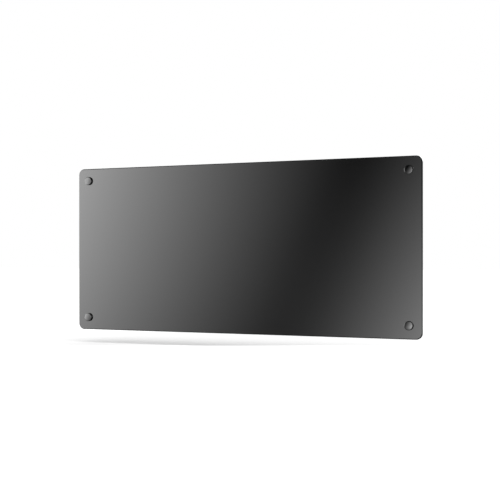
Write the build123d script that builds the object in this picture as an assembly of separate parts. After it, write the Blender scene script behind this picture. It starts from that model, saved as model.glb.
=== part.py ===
from build123d import *
import math
import os

os.makedirs("parts", exist_ok=True)

# A wall-hung infrared panel heater: a black glass sheet on a shallow steel tray, four capped corner
# fixings that end in mushroom studs, and a wall bracket whose keyholes take the studs.
# Millimetres. The wall is the plane y = 0 and the room lies towards -Y. +X is to the right of someone
# who faces the heater, and +Z is up. The origin is on the wall, behind the middle of the glass.

# ---------------------------------------------------------------- sizes: glass and corner fixings
GLASS_WIDTH = 1000.0
GLASS_HEIGHT = 450.0
GLASS_THICKNESS = 6.0
GLASS_CORNER_RADIUS = 16.5
FRONT_BEVEL = 2.0
REAR_BEVEL = 1.0
GLASS_HOLE_RADIUS = 6.0
FIXING_INSET = 34.0  # edge of the glass to the middle of a corner fixing

THREAD_RADIUS = 3.0  # M6 studs and nuts
THREAD_CLEARANCE = 0.3  # round a stud where it passes a plain hole
CAP_RADIUS = 11.25
CAP_HEIGHT = 5.0
CAP_RIM_RADIUS = 1.6  # rounding between a cap's side and its face
CAP_DOME_RISE = 0.42
CAP_THREAD_DEPTH = 3.4
CAP_WASHER_RADIUS = 10.0
CAP_WASHER_THICKNESS = 0.6
BUSH_CLEARANCE = 0.25  # bush to the wall of the glass hole
REAR_WASHER_RADIUS = 10.0
REAR_WASHER_THICKNESS = 1.0
SPACER_RADIUS = 8.0
NUT_ACROSS_FLATS = 10.0
NUT_THICKNESS = 5.0
SHOULDER_RADIUS = 8.0
SHOULDER_LENGTH = 6.7
SHOULDER_THREAD_DEPTH = 5.2
NECK_RADIUS = 3.0
HEAD_RADIUS = 7.0
HEAD_THICKNESS = 3.0
HEAD_EDGE_CHAMFER = 0.5

# ---------------------------------------------------------------- sizes: tray, films and insulation
TRAY_SHEET = 1.0
TRAY_RIM_INSET = 12.0  # edge of the glass to the edge of the tray's rim
TRAY_RIM_WIDTH = 7.0
TRAY_CORNER_RADIUS = 12.0
TRAY_BEND = 2.0
GASKET_WIDTH = 6.0
GASKET_THICKNESS = 1.0
BEAD_HEIGHT = 1.5
BEAD_WIDTH = 14.0
BEAD_PITCH = 80.0
LONG_BEADS = 3
LONG_BEAD_LENGTH = 700.0
SHORT_BEAD_LENGTH = 240.0
SHORT_BEAD_GAP = 40.0  # side of the control box to the nearer end of a short bead
BEAD_TOP_GAP = 60.0  # top of the tray to the middle of the highest bead

CARRIER_THICKNESS = 0.5
TRACK_THICKNESS = 0.3
COVER_FILM_THICKNESS = 0.4
REFLECTOR_THICKNESS = 0.2
MAT_THICKNESS = 12.6
MAT_CLEARANCE = 3.0
FILM_INSET = 30.0  # edge of the glass to the edge of the films
CORNER_NOTCH = 14.0  # middle of a fixing to the cut corner of the sheets
TRACK_WIDTH = 13.0
TRACK_PITCH = 26.0
TRACK_SIDE_MARGIN = 28.0  # films' edge to the track
TRACK_TOP_MARGIN = 20.0
TRACK_BOTTOM_MARGIN = 34.0
BUSBAR_WIDTH = 9.0
BUSBAR_GAP = 5.0
TAB_SPACING = 80.0
TAB_WIDTH = 8.0
TAB_THICKNESS = 0.8
TAB_HEIGHT = 4.2
TAB_CLEARANCE = 0.4  # tab to the edge of its slot in the cover film

# ---------------------------------------------------------------- sizes: wall bracket
RAIL_SHEET = 2.0
RAIL_DEPTH = 14.0  # wall to the front of a rail
RAIL_WEB_WIDTH = 26.0
RAIL_FOOT_WIDTH = 26.0
RAIL_BEND = 3.0
RAIL_END_MARGIN = 6.0
HANG_CLEARANCE = 0.3  # studs to the sheet of the rails, all round
KEYHOLE_CLEARANCE = 1.0  # stud head to the round of the keyhole
LIFT_TRAVEL = 14.0
WALL_SCREW_RADIUS = 2.75
WALL_SCREW_BELOW_FIXING = 51.0
BAR_SHEET = 2.0
BAR_HEIGHT = 40.0
BAR_LIP = 10.0
BAR_BELOW_FIXING = 131.0
BAR_END_GAP = 1.0
RIVET_RADIUS = 2.0
RIVET_HEAD_RADIUS = 3.8
RIVET_HEAD_HEIGHT = 1.4
RIVET_SINK = 1.0
RIVET_SPACING = 20.0

# ---------------------------------------------------------------- sizes: control box
BOX_WIDTH = 190.0
BOX_HEIGHT = 80.0
BOX_WALL = 2.0
BOX_CORNER_RADIUS = 5.0
BOX_BOTTOM_INSET = 29.0  # bottom edge of the glass to the bottom of the box
BOX_WALL_GAP = 3.0  # back of the box to the wall
BOSS_RADIUS = 4.0
BOSS_INSET = 6.5
COVER_SCREW_RADIUS = 1.5
COVER_SCREW_LENGTH = 10.0
COVER_SCREW_HEAD_RADIUS = 2.9
COVER_SCREW_SINK = 1.5
COVER_TONGUE_DEPTH = 2.0
COVER_TONGUE_THICKNESS = 1.5
COVER_TONGUE_CLEARANCE = 0.3
VENT_COUNT = 11
VENT_PITCH = 6.0
VENT_WIDTH = 2.4
VENT_LENGTH = 30.0
BOX_SCREW_INSET = 11.0
BOX_SCREW_SPACING = 28.0
BOX_SCREW_RADIUS = 1.5
BOX_SCREW_HEAD_RADIUS = 2.8
BOX_SCREW_HEAD_HEIGHT = 2.0
CLINCH_NUT_RADIUS = 3.2
CLINCH_NUT_HEIGHT = 2.5
CLINCH_NUT_ROOM = 1.5  # clear space round a clinch nut in the mat
GROMMET_INSET = 25.0  # right side of the box to the middle of the grommet
GROMMET_ABOVE_MIDDLE = 12.0
GROMMET_BORE = 5.4
GROMMET_NECK_RADIUS = 7.0
GROMMET_FLANGE_RADIUS = 9.0
GROMMET_FLANGE_THICKNESS = 1.0

# ---------------------------------------------------------------- sizes: rocker switch and light pipe
SWITCH_INSET = 33.0  # right side of the box to the middle of the switch
BEZEL_LENGTH = 21.0
BEZEL_WIDTH = 15.0
BEZEL_THICKNESS = 2.0
BEZEL_CORNER_RADIUS = 1.5
BEZEL_CHAMFER = 0.5
HOUSING_LENGTH = 19.0
HOUSING_WIDTH = 12.8
HOUSING_DEPTH = 14.0
KEY_LENGTH = 14.0
KEY_WIDTH = 9.0
KEY_FACE_HEIGHT = 3.5  # pivot to the middle of the key's face
KEY_SKIRT = 4.0
KEY_SKIRT_TAPER = 1.5
KEY_TILT = 10.0  # degrees, to each side of the middle
KEY_SIDE_CLEARANCE = 0.3
KEY_END_CLEARANCE = 1.1
KEY_FLOOR_CLEARANCE = 1.6
PIVOT_DEPTH = 1.3
PIVOT_PIN_RADIUS = 1.0
PIVOT_RUNNING_CLEARANCE = 0.05
BLADE_SPACING = 8.0
BLADE_THICKNESS = 0.8
BLADE_WIDTH = 4.8
BLADE_LENGTH = 9.0
LIGHT_PIPE_OFFSET = 22.0  # middle of the board to the light pipe
LIGHT_PIPE_RADIUS = 2.0
LIGHT_PIPE_LENS_RADIUS = 3.2
LIGHT_PIPE_LENS_HEIGHT = 1.5
LED_SIZE = 2.0
LED_GAP = 0.6

# ---------------------------------------------------------------- sizes: cable gland
GLAND_INSET = 37.0  # left side of the box to the middle of the gland
GLAND_THREAD_RADIUS = 6.0
GLAND_BORE = 4.0
GLAND_ACROSS_FLATS = 15.0
GLAND_HEX_HEIGHT = 5.0
GLAND_INNER_THREAD = 7.0  # from the outside of the box wall inwards
GLAND_OUTER_THREAD = 7.0  # from the hexagon outwards
SEAL_RADIUS = 5.0
SEAL_BORE = 3.3
SEAL_LENGTH = 7.0
LOCK_NUT_HEIGHT = 3.0
DOME_NUT_GAP = 0.4
DOME_NUT_SKIRT = 6.0
DOME_NUT_NOSE = 5.0
DOME_NUT_MOUTH = 4.2
DOME_NUT_NOSE_WALL = 2.0

# ---------------------------------------------------------------- sizes: what the control box holds
BLOCK_POLES = 3
BLOCK_POLE_PITCH = 10.0
BLOCK_LENGTH = 16.0
BLOCK_THICKNESS = 13.0
BLOCK_ABOVE_MIDDLE = 14.0
BLOCK_WIRE_RADIUS = 2.0
BLOCK_WIRE_HEIGHT = 7.0
BLOCK_SCREW_RADIUS = 1.8
BLOCK_SCREW_WELL = 0.4
BLOCK_SCREW_SPACING = 9.0
BLOCK_SCREW_LENGTH = 3.0
BLOCK_SCREW_SINK = 1.2
BLOCK_SCREW_SLOT_WIDTH = 0.6
BLOCK_SCREW_SLOT_DEPTH = 0.75

BOARD_X = 6.0
BOARD_WIDTH = 68.0
BOARD_HEIGHT = 50.0
BOARD_THICKNESS = 1.6
BOARD_STANDOFF = 4.0
BOARD_HOLE_INSET = 4.0
BOARD_SCREW_RADIUS = 1.2
BOARD_SCREW_LENGTH = 4.5
BOARD_SCREW_HEAD_RADIUS = 2.2
BOARD_SCREW_HEAD_HEIGHT = 1.5
BOARD_BOSS_RADIUS = 3.0
RELAY_SIZE = (20.0, 11.0, 12.0)
RELAY_AT = (12.0, -13.0)  # from the middle of the board
SUPPLY_SIZE = (26.0, 10.5, 18.0)
SUPPLY_AT = (-6.0, 6.0)
CAPACITOR_RADIUS = 4.0
CAPACITOR_HEIGHT = 11.0
CAPACITOR_AT = (14.0, 8.0)
RECEIVER_SIZE = (16.0, 2.6, 12.0)
RECEIVER_AT = (-8.0, -17.0)
FUSE_RADIUS = 2.6
FUSE_LENGTH = 20.0
FUSE_AT = (-25.0, -6.0)
FUSE_HEIGHT = 4.0
CLIP_LENGTH = 5.0
CLIP_WALL = 0.6
CLIP_CHEEK_HEIGHT = 1.3  # middle of the fuse to the end of a cheek
CONNECTOR_DEPTH = 8.0
CONNECTOR_HEIGHT = 8.0
CONNECTOR_POLE = 4.4
FEED_ABOVE_MIDDLE = 14.0
SWITCHED_BELOW_MIDDLE = 6.0

CUTOUT_SIZE = (18.0, 4.5, 8.0)
CUTOUT_XS = (-20.0, 15.0)
CUTOUT_BELOW_GROMMET = 6.0
CUTOUT_BLADE_LENGTH = 4.0
CUTOUT_BLADE_WIDTH = 3.0
CUTOUT_BLADE_THICKNESS = 0.6
SENSOR_X = 0.0
SENSOR_ABOVE_TABS = 4.5
SENSOR_RADIUS = 2.2
SENSOR_LENGTH = 16.0
STRAP_WIDTH = 6.0
STRAP_SHEET = 0.3
STRAP_FOOT = 4.0
WINDOW_PAST_TAB = 8.0  # middle of the left tab to the left side of the window
WINDOW_PAST_GROMMET = 12.0  # middle of the grommet to the right side of the window
WINDOW_TOP_ABOVE_GROMMET = 10.0
WINDOW_BOTTOM_BELOW_GROMMET = 45.0

EARTH_INSET = 17.0  # left side of the box to the earth stud
EARTH_ABOVE_BOX = 18.0
EARTH_STUD_RADIUS = 2.0
EARTH_STUD_LENGTH = 9.5
EARTH_PAD_RADIUS = 4.0
EARTH_PAD_HEIGHT = 2.4
EARTH_HOLE_RADIUS = 5.5
EARTH_NUT_ACROSS_FLATS = 7.0
EARTH_NUT_THICKNESS = 3.2
RING_RADIUS = 4.0
RING_SHEET = 0.8
BARREL_RADIUS = 1.6
BARREL_LENGTH = 6.0
BARREL_REACH = 3.4  # stud to the near end of the barrel

LEAD_RADIUS = 1.2
SENSOR_LEAD_RADIUS = 1.0
LEAD_PITCH = 3.9
LEAD_BEND = 4.0
LEAD_RISE = 6.0  # top of the terminal block to where its leads turn
LEAD_BEHIND_RIM = 4.0  # rim of the box to a lead that runs across behind the board
LEAD_BELOW_TOP = 4.5  # inside of the box's top wall to the same lead
BLADE_LEAD_RISE = 9.0  # switch blade to where its lead slopes back
CROSSING_GAP = 7.1  # lowest output lead to where the switch lead has sloped back below it
OUTPUT_STRAIGHT = 8.0  # straight end of a lead at a cut-out
OUTPUT_SLOPE = 10.0  # length in X of the slope before that end
EARTH_LEAD_RISE = 14.0  # ring terminal to where the earth lead slopes back

# ---------------------------------------------------------------- the stack, from the wall to the room
WEB_FRONT = -RAIL_DEPTH
WEB_BACK = WEB_FRONT + RAIL_SHEET
NECK_FRONT = WEB_FRONT - HANG_CLEARANCE
HEAD_FRONT = WEB_BACK + HANG_CLEARANCE
HEAD_BACK = HEAD_FRONT + HEAD_THICKNESS
NUT_BACK = NECK_FRONT - SHOULDER_LENGTH
TRAY_BACK = NUT_BACK - NUT_THICKNESS
TRAY_FLOOR = TRAY_BACK - TRAY_SHEET
MAT_FRONT = TRAY_FLOOR - MAT_THICKNESS
REFLECTOR_FRONT = MAT_FRONT - REFLECTOR_THICKNESS
COVER_FILM_FRONT = REFLECTOR_FRONT - COVER_FILM_THICKNESS
TRACK_FRONT = COVER_FILM_FRONT - TRACK_THICKNESS
GLASS_BACK = TRACK_FRONT - CARRIER_THICKNESS
GLASS_FRONT = GLASS_BACK - GLASS_THICKNESS
CAP_BACK = GLASS_FRONT - CAP_WASHER_THICKNESS
RIM_FRONT = GLASS_BACK + GASKET_THICKNESS
SPACER_FRONT = GLASS_BACK + REAR_WASHER_THICKNESS
STUD_END_FRONT = CAP_BACK - CAP_THREAD_DEPTH
STUD_END_BACK = NUT_BACK + SHOULDER_THREAD_DEPTH

# ---------------------------------------------------------------- places in the plane of the glass
FIXING_X = GLASS_WIDTH / 2 - FIXING_INSET
FIXING_Z = GLASS_HEIGHT / 2 - FIXING_INSET
FIXINGS = [(x, z) for x in (-FIXING_X, FIXING_X) for z in (-FIXING_Z, FIXING_Z)]
STUD_HOLE_RADIUS = THREAD_RADIUS + THREAD_CLEARANCE

RIM_WIDTH = GLASS_WIDTH - 2 * TRAY_RIM_INSET
RIM_HEIGHT = GLASS_HEIGHT - 2 * TRAY_RIM_INSET
PAN_WIDTH = RIM_WIDTH - 2 * TRAY_RIM_WIDTH
PAN_HEIGHT = RIM_HEIGHT - 2 * TRAY_RIM_WIDTH
HOLLOW_WIDTH = PAN_WIDTH - 2 * TRAY_SHEET
HOLLOW_HEIGHT = PAN_HEIGHT - 2 * TRAY_SHEET
FILM_WIDTH = GLASS_WIDTH - 2 * FILM_INSET
FILM_HEIGHT = GLASS_HEIGHT - 2 * FILM_INSET

BOX_BOTTOM = -GLASS_HEIGHT / 2 + BOX_BOTTOM_INSET
BOX_MIDDLE = BOX_BOTTOM + BOX_HEIGHT / 2
BOX_TOP = BOX_BOTTOM + BOX_HEIGHT
BOX_FLOOR = TRAY_BACK + BOX_WALL
BOX_BACK = -BOX_WALL_GAP
BOX_RIM = BOX_BACK - BOX_WALL
BOX_MID_DEPTH = (BOX_FLOOR + BOX_RIM) / 2
BOSS_X = BOX_WIDTH / 2 - BOSS_INSET
BOSS_Z = BOX_HEIGHT / 2 - BOSS_INSET
BOSSES = [(x, BOX_MIDDLE + z) for x in (-BOSS_X, BOSS_X) for z in (-BOSS_Z, BOSS_Z)]
BOX_SCREW_X = BOX_WIDTH / 2 - BOX_SCREW_INSET
BOX_SCREWS = [
    (x, BOX_MIDDLE + z)
    for x in (-BOX_SCREW_X, BOX_SCREW_X)
    for z in (-BOX_SCREW_SPACING / 2, BOX_SCREW_SPACING / 2)
]
GROMMET_X = BOX_WIDTH / 2 - GROMMET_INSET
GROMMET_Z = BOX_MIDDLE + GROMMET_ABOVE_MIDDLE
SWITCH_X = BOX_WIDTH / 2 - SWITCH_INSET
GLAND_X = -BOX_WIDTH / 2 + GLAND_INSET
EARTH_X = -BOX_WIDTH / 2 + EARTH_INSET
EARTH_Z = BOX_BOTTOM + EARTH_ABOVE_BOX
LIGHT_PIPE_X = BOARD_X + LIGHT_PIPE_OFFSET

BOARD_BACK = BOX_FLOOR + BOARD_STANDOFF + BOARD_THICKNESS
BOARD_LEFT = BOARD_X - BOARD_WIDTH / 2
BOARD_RIGHT = BOARD_X + BOARD_WIDTH / 2
BOARD_HOLES = [
    (BOARD_X + x, BOX_MIDDLE + z)
    for x in (-BOARD_WIDTH / 2 + BOARD_HOLE_INSET, BOARD_WIDTH / 2 - BOARD_HOLE_INSET)
    for z in (-BOARD_HEIGHT / 2 + BOARD_HOLE_INSET, BOARD_HEIGHT / 2 - BOARD_HOLE_INSET)
]
BOARD_WIRE_Y = BOX_MID_DEPTH  # level with the blades of the switch

TAB_BACK = COVER_FILM_FRONT + TAB_HEIGHT
TAB_SLOT_WIDTH = TAB_WIDTH + 2 * TAB_CLEARANCE
TAB_SLOT_HEIGHT = TAB_THICKNESS + 2 * TAB_CLEARANCE
TRACK_TOP = FILM_HEIGHT / 2 - TRACK_TOP_MARGIN
TRACK_BOTTOM = -FILM_HEIGHT / 2 + TRACK_BOTTOM_MARGIN
BUSBAR_TOP = TRACK_BOTTOM - BUSBAR_GAP
BUSBAR_BOTTOM = BUSBAR_TOP - BUSBAR_WIDTH
BUSBAR_MIDDLE = (BUSBAR_TOP + BUSBAR_BOTTOM) / 2
TRACK_PAIRS = int((FILM_WIDTH - 2 * TRACK_SIDE_MARGIN + TRACK_PITCH - TRACK_WIDTH) // (2 * TRACK_PITCH))
TRACK_RUNS = 2 * TRACK_PAIRS
TRACK_XS = [(run - (TRACK_RUNS - 1) / 2) * TRACK_PITCH for run in range(TRACK_RUNS)]
CUTOUT_Z = GROMMET_Z - CUTOUT_BELOW_GROMMET
CUTOUT_MIDDLE = REFLECTOR_FRONT + CUTOUT_SIZE[1] / 2
SENSOR_Z = BUSBAR_MIDDLE + SENSOR_ABOVE_TABS
SENSOR_Y = REFLECTOR_FRONT + SENSOR_RADIUS

KEYHOLE_RADIUS = HEAD_RADIUS + KEYHOLE_CLEARANCE
SLOT_RADIUS = NECK_RADIUS + HANG_CLEARANCE
RAIL_TOP = FIXING_Z + LIFT_TRAVEL + KEYHOLE_RADIUS + RAIL_END_MARGIN
RAIL_BOTTOM = -FIXING_Z - KEYHOLE_RADIUS - RAIL_END_MARGIN
LEG_INBOARD = FIXING_X - RAIL_WEB_WIDTH / 2
LEG_OUTBOARD = LEG_INBOARD + RAIL_SHEET
FOOT_END = LEG_OUTBOARD - RAIL_FOOT_WIDTH
WALL_SCREW_X = (LEG_INBOARD + FOOT_END) / 2
WALL_SCREW_Z = FIXING_Z - WALL_SCREW_BELOW_FIXING
WALL_SCREWS = [(x, z) for x in (-WALL_SCREW_X, WALL_SCREW_X) for z in (-WALL_SCREW_Z, WALL_SCREW_Z)]
BAR_Z = FIXING_Z - BAR_BELOW_FIXING
BAR_BACK = -RAIL_SHEET
BAR_FRONT = BAR_BACK - BAR_SHEET
RIVETS = [
    (x, BAR_Z + z)
    for x in (-WALL_SCREW_X, WALL_SCREW_X)
    for z in (-RIVET_SPACING / 2, RIVET_SPACING / 2)
]


# ---------------------------------------------------------------- making and writing pieces
def save(name, *pieces):
    """Writes one named piece, or a group of like pieces, to its own file."""
    solids = [solid for piece in pieces for solid in piece.solids()]
    export_step(Compound(solids), f"parts/{name}.step")


def plate(outline, back, front):
    """A flat outline in X and Z, made solid from y = back to y = front."""
    return extrude(Plane.XZ.offset(-back) * outline, back - front)


def block(x, z, width, height, back, front):
    """A rectangular block about (x, z) from y = back to y = front."""
    return Pos(x, (back + front) / 2, z) * Box(width, back - front, height)


def rod(x, z, radius, back, front):
    """A round bar along Y about (x, z)."""
    return Pos(x, (back + front) / 2, z) * Rot(90, 0, 0) * Cylinder(radius, back - front)


def ring(x, z, outer, inner, back, front):
    """A washer or tube along Y about (x, z)."""
    return rod(x, z, outer, back, front) - rod(x, z, inner, back, front)


def nut(x, z, across_flats, bore, back, front):
    """A hexagon nut along Y about (x, z), with its thread left plain."""
    outline = Pos(x, z) * RegularPolygon(across_flats / 2, 6, major_radius=False)
    return plate(outline, back, front) - rod(x, z, bore, back, front)


def downwards(x, y, z):
    """A place whose own Z axis points down, with X kept, for what stands out of the box's underside."""
    return Location(Plane(origin=(x, y, z), x_dir=(1, 0, 0), z_dir=(0, 0, -1)))


def lead(radius, bend, *points):
    """A wire along straight runs joined by arcs."""
    route = FilletPolyline(*points, radius=bend)
    return sweep(Plane(origin=route @ 0, z_dir=route % 0) * Circle(radius), path=route)


# ---------------------------------------------------------------- glass and corner fixings
def glass_panel():
    outline = RectangleRounded(GLASS_WIDTH, GLASS_HEIGHT, GLASS_CORNER_RADIUS)
    sheet = plate(outline, GLASS_BACK, GLASS_FRONT)
    sheet = chamfer(sheet.faces().sort_by(Axis.Y)[0].edges(), FRONT_BEVEL)
    sheet = chamfer(sheet.faces().sort_by(Axis.Y)[-1].edges(), REAR_BEVEL)
    for x, z in FIXINGS:
        sheet -= rod(x, z, GLASS_HOLE_RADIUS, GLASS_BACK, GLASS_FRONT)
    return sheet


def corner_cap(x, z):
    """A turned cap: straight side, rounded rim, slightly domed face, blind thread in the back."""
    face_radius = CAP_RADIUS - CAP_RIM_RADIUS
    rim_height = CAP_HEIGHT - CAP_DOME_RISE
    sphere = (face_radius**2 + CAP_DOME_RISE**2) / (2 * CAP_DOME_RISE)
    half_way = CAP_HEIGHT - sphere + math.sqrt(sphere**2 - (face_radius / 2) ** 2)
    side = Polyline((0, CAP_HEIGHT), (0, 0), (CAP_RADIUS, 0), (CAP_RADIUS, rim_height - CAP_RIM_RADIUS))
    rim = JernArc((CAP_RADIUS, rim_height - CAP_RIM_RADIUS), (0, 1), CAP_RIM_RADIUS, 90)
    dome = ThreePointArc((face_radius, rim_height), (face_radius / 2, half_way), (0, CAP_HEIGHT))
    cap = revolve(make_face([side, rim, dome]), Axis.Y)
    cap = Pos(x, CAP_BACK, z) * Rot(180, 0, 0) * cap
    return cap - rod(x, z, THREAD_RADIUS, CAP_BACK, STUD_END_FRONT)


def hanging_stud(x, z):
    """A mushroom stud: threaded shoulder, neck for the keyhole slot, and a head behind the rail."""
    head = rod(x, z, HEAD_RADIUS, HEAD_BACK, HEAD_FRONT)
    head = chamfer(head.faces().sort_by(Axis.Y)[-1].edges(), HEAD_EDGE_CHAMFER)
    neck = rod(x, z, NECK_RADIUS, HEAD_FRONT, NECK_FRONT)
    shoulder = rod(x, z, SHOULDER_RADIUS, NECK_FRONT, NUT_BACK)
    return head + neck + shoulder - rod(x, z, THREAD_RADIUS, STUD_END_BACK, NUT_BACK)


def corner_fixings():
    save("corner_caps", *[corner_cap(x, z) for x, z in FIXINGS])
    washers = [ring(x, z, CAP_WASHER_RADIUS, STUD_HOLE_RADIUS, GLASS_FRONT, CAP_BACK) for x, z in FIXINGS]
    save("cap_washers", *washers)
    studs = [rod(x, z, THREAD_RADIUS, STUD_END_BACK, STUD_END_FRONT) for x, z in FIXINGS]
    save("fixing_studs", *studs)
    bush_radius = GLASS_HOLE_RADIUS - BUSH_CLEARANCE
    bushes = [ring(x, z, bush_radius, STUD_HOLE_RADIUS, GLASS_BACK, GLASS_FRONT) for x, z in FIXINGS]
    save("glass_bushes", *bushes)
    rear = [ring(x, z, REAR_WASHER_RADIUS, STUD_HOLE_RADIUS, SPACER_FRONT, GLASS_BACK) for x, z in FIXINGS]
    save("rear_washers", *rear)
    spacers = [ring(x, z, SPACER_RADIUS, STUD_HOLE_RADIUS, TRAY_FLOOR, SPACER_FRONT) for x, z in FIXINGS]
    save("spacer_barrels", *spacers)
    nuts = [nut(x, z, NUT_ACROSS_FLATS, THREAD_RADIUS, NUT_BACK, TRAY_BACK) for x, z in FIXINGS]
    save("stud_nuts", *nuts)
    save("hanging_studs", *[hanging_stud(x, z) for x, z in FIXINGS])


# ---------------------------------------------------------------- tray, films and insulation
def edge_gasket():
    outer = RectangleRounded(RIM_WIDTH, RIM_HEIGHT, TRAY_CORNER_RADIUS + TRAY_RIM_WIDTH)
    inner_radius = TRAY_CORNER_RADIUS + TRAY_RIM_WIDTH - GASKET_WIDTH
    inner = RectangleRounded(RIM_WIDTH - 2 * GASKET_WIDTH, RIM_HEIGHT - 2 * GASKET_WIDTH, inner_radius)
    return plate(outer, RIM_FRONT, GLASS_BACK) - plate(inner, RIM_FRONT, GLASS_BACK)


def bead_places():
    """Middle and length of each stiffening bead that is pressed into the tray."""
    top = PAN_HEIGHT / 2 - BEAD_TOP_GAP
    places = [(0, top - row * BEAD_PITCH, LONG_BEAD_LENGTH) for row in range(LONG_BEADS)]
    short_x = BOX_WIDTH / 2 + SHORT_BEAD_GAP + SHORT_BEAD_LENGTH / 2
    places += [(side * short_x, BOX_MIDDLE, SHORT_BEAD_LENGTH) for side in (-1, 1)]
    return places


def rear_tray():
    """Pressed from one sheet: a flat rim against the glass, a pan behind it, and beads in its floor."""
    rim = RectangleRounded(RIM_WIDTH, RIM_HEIGHT, TRAY_CORNER_RADIUS + TRAY_RIM_WIDTH)
    pan = plate(RectangleRounded(PAN_WIDTH, PAN_HEIGHT, TRAY_CORNER_RADIUS), TRAY_BACK, RIM_FRONT)
    pan = fillet(pan.faces().sort_by(Axis.Y)[-1].edges(), TRAY_BEND)
    inside_outline = RectangleRounded(HOLLOW_WIDTH, HOLLOW_HEIGHT, TRAY_CORNER_RADIUS - TRAY_SHEET)
    inside = plate(inside_outline, TRAY_FLOOR, RIM_FRONT)
    inside = fillet(inside.faces().sort_by(Axis.Y)[-1].edges(), TRAY_BEND - TRAY_SHEET)
    tray = pan + plate(rim, RIM_FRONT + TRAY_SHEET, RIM_FRONT)
    ridge_back = TRAY_BACK + BEAD_HEIGHT
    for x, z, length in bead_places():
        ridge = plate(Pos(x, z) * SlotOverall(length, BEAD_WIDTH), ridge_back, TRAY_BACK)
        tray += chamfer(ridge.faces().sort_by(Axis.Y)[-1].edges(), BEAD_HEIGHT / 2)
    tray -= inside
    for x, z, length in bead_places():
        groove = Pos(x, z) * SlotOverall(length - 2 * TRAY_SHEET, BEAD_WIDTH - 2 * TRAY_SHEET)
        tray -= plate(groove, ridge_back - TRAY_SHEET, TRAY_FLOOR)
    for x, z in FIXINGS:
        tray -= rod(x, z, STUD_HOLE_RADIUS, TRAY_BACK, TRAY_FLOOR)
    for x, z in BOX_SCREWS:
        tray -= rod(x, z, BOX_SCREW_RADIUS, TRAY_BACK, TRAY_FLOOR)
    return tray - rod(GROMMET_X, GROMMET_Z, GROMMET_NECK_RADIUS, TRAY_BACK, TRAY_FLOOR)


def cut_corners(width, height, back, front):
    """A flat sheet whose corners are cut away round the fixings."""
    sheet = block(0, 0, width, height, back, front)
    reach = GLASS_WIDTH
    for x, z in FIXINGS:
        corner_x = x + math.copysign(reach / 2 - CORNER_NOTCH, x)
        corner_z = z + math.copysign(reach / 2 - CORNER_NOTCH, z)
        sheet -= block(corner_x, corner_z, reach, reach, back, front)
    return sheet


def wiring_window(back, front):
    """The space for the cut-outs, the sensor, the solder tabs and their leads."""
    top = GROMMET_Z + WINDOW_TOP_ABOVE_GROMMET
    bottom = GROMMET_Z - WINDOW_BOTTOM_BELOW_GROMMET
    left = -TAB_SPACING / 2 - WINDOW_PAST_TAB
    right = GROMMET_X + WINDOW_PAST_GROMMET
    return block((left + right) / 2, (top + bottom) / 2, right - left, top - bottom, back, front)


def tab_slots(back, front):
    """Slots that the two solder tabs come through."""
    left = block(-TAB_SPACING / 2, BUSBAR_MIDDLE, TAB_SLOT_WIDTH, TAB_SLOT_HEIGHT, back, front)
    right = block(TAB_SPACING / 2, BUSBAR_MIDDLE, TAB_SLOT_WIDTH, TAB_SLOT_HEIGHT, back, front)
    return left + right


def cover_film():
    sheet = cut_corners(FILM_WIDTH, FILM_HEIGHT, REFLECTOR_FRONT, COVER_FILM_FRONT)
    return sheet - tab_slots(REFLECTOR_FRONT, COVER_FILM_FRONT)


def reflector_foil():
    sheet = cut_corners(FILM_WIDTH, FILM_HEIGHT, MAT_FRONT, REFLECTOR_FRONT)
    return sheet - wiring_window(MAT_FRONT, REFLECTOR_FRONT)


def insulation_mat():
    width = HOLLOW_WIDTH - 2 * MAT_CLEARANCE
    height = HOLLOW_HEIGHT - 2 * MAT_CLEARANCE
    mat = cut_corners(width, height, TRAY_FLOOR, MAT_FRONT)
    mat -= wiring_window(TRAY_FLOOR, MAT_FRONT)
    for x, z in BOX_SCREWS:
        room_front = TRAY_FLOOR - CLINCH_NUT_HEIGHT - CLINCH_NUT_ROOM
        mat -= rod(x, z, CLINCH_NUT_RADIUS + CLINCH_NUT_ROOM, TRAY_FLOOR, room_front)
    return mat


def heating_track():
    """One strip of foil, up and down from left to right, with both ends at the bottom."""
    half = TRACK_WIDTH / 2
    outer = []
    inner = []
    for pair in range(TRACK_PAIRS):
        up = TRACK_XS[2 * pair]
        down = TRACK_XS[2 * pair + 1]
        first = pair == 0
        last = pair == TRACK_PAIRS - 1
        outer.append((up - half, TRACK_BOTTOM if first else TRACK_BOTTOM + TRACK_WIDTH))
        outer.append((up - half, TRACK_TOP))
        outer.append((down + half, TRACK_TOP))
        outer.append((down + half, TRACK_BOTTOM if last else TRACK_BOTTOM + TRACK_WIDTH))
        inner.append((up + half, TRACK_BOTTOM))
        inner.append((up + half, TRACK_TOP - TRACK_WIDTH))
        inner.append((down - half, TRACK_TOP - TRACK_WIDTH))
        inner.append((down - half, TRACK_BOTTOM))
    outline = make_face(Polyline(*outer, *reversed(inner), close=True))
    return plate(outline, COVER_FILM_FRONT, TRACK_FRONT)


def busbar(side):
    """A copper strip from one end of the track to its solder tab. side is -1 for left, 1 for right."""
    end_x = side * TRACK_XS[-1]
    tab_x = side * TAB_SPACING / 2
    leg_height = TRACK_BOTTOM - BUSBAR_BOTTOM
    leg_z = (TRACK_BOTTOM + BUSBAR_BOTTOM) / 2
    leg = block(end_x, leg_z, TRACK_WIDTH, leg_height, COVER_FILM_FRONT, TRACK_FRONT)
    outer = end_x + side * TRACK_WIDTH / 2
    inner = tab_x - side * TAB_WIDTH / 2
    run_x = (outer + inner) / 2
    run_length = abs(outer - inner)
    run = block(run_x, BUSBAR_MIDDLE, run_length, BUSBAR_WIDTH, COVER_FILM_FRONT, TRACK_FRONT)
    tab = block(tab_x, BUSBAR_MIDDLE, TAB_WIDTH, TAB_THICKNESS, TAB_BACK, TRACK_FRONT)
    return leg + run + tab


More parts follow.
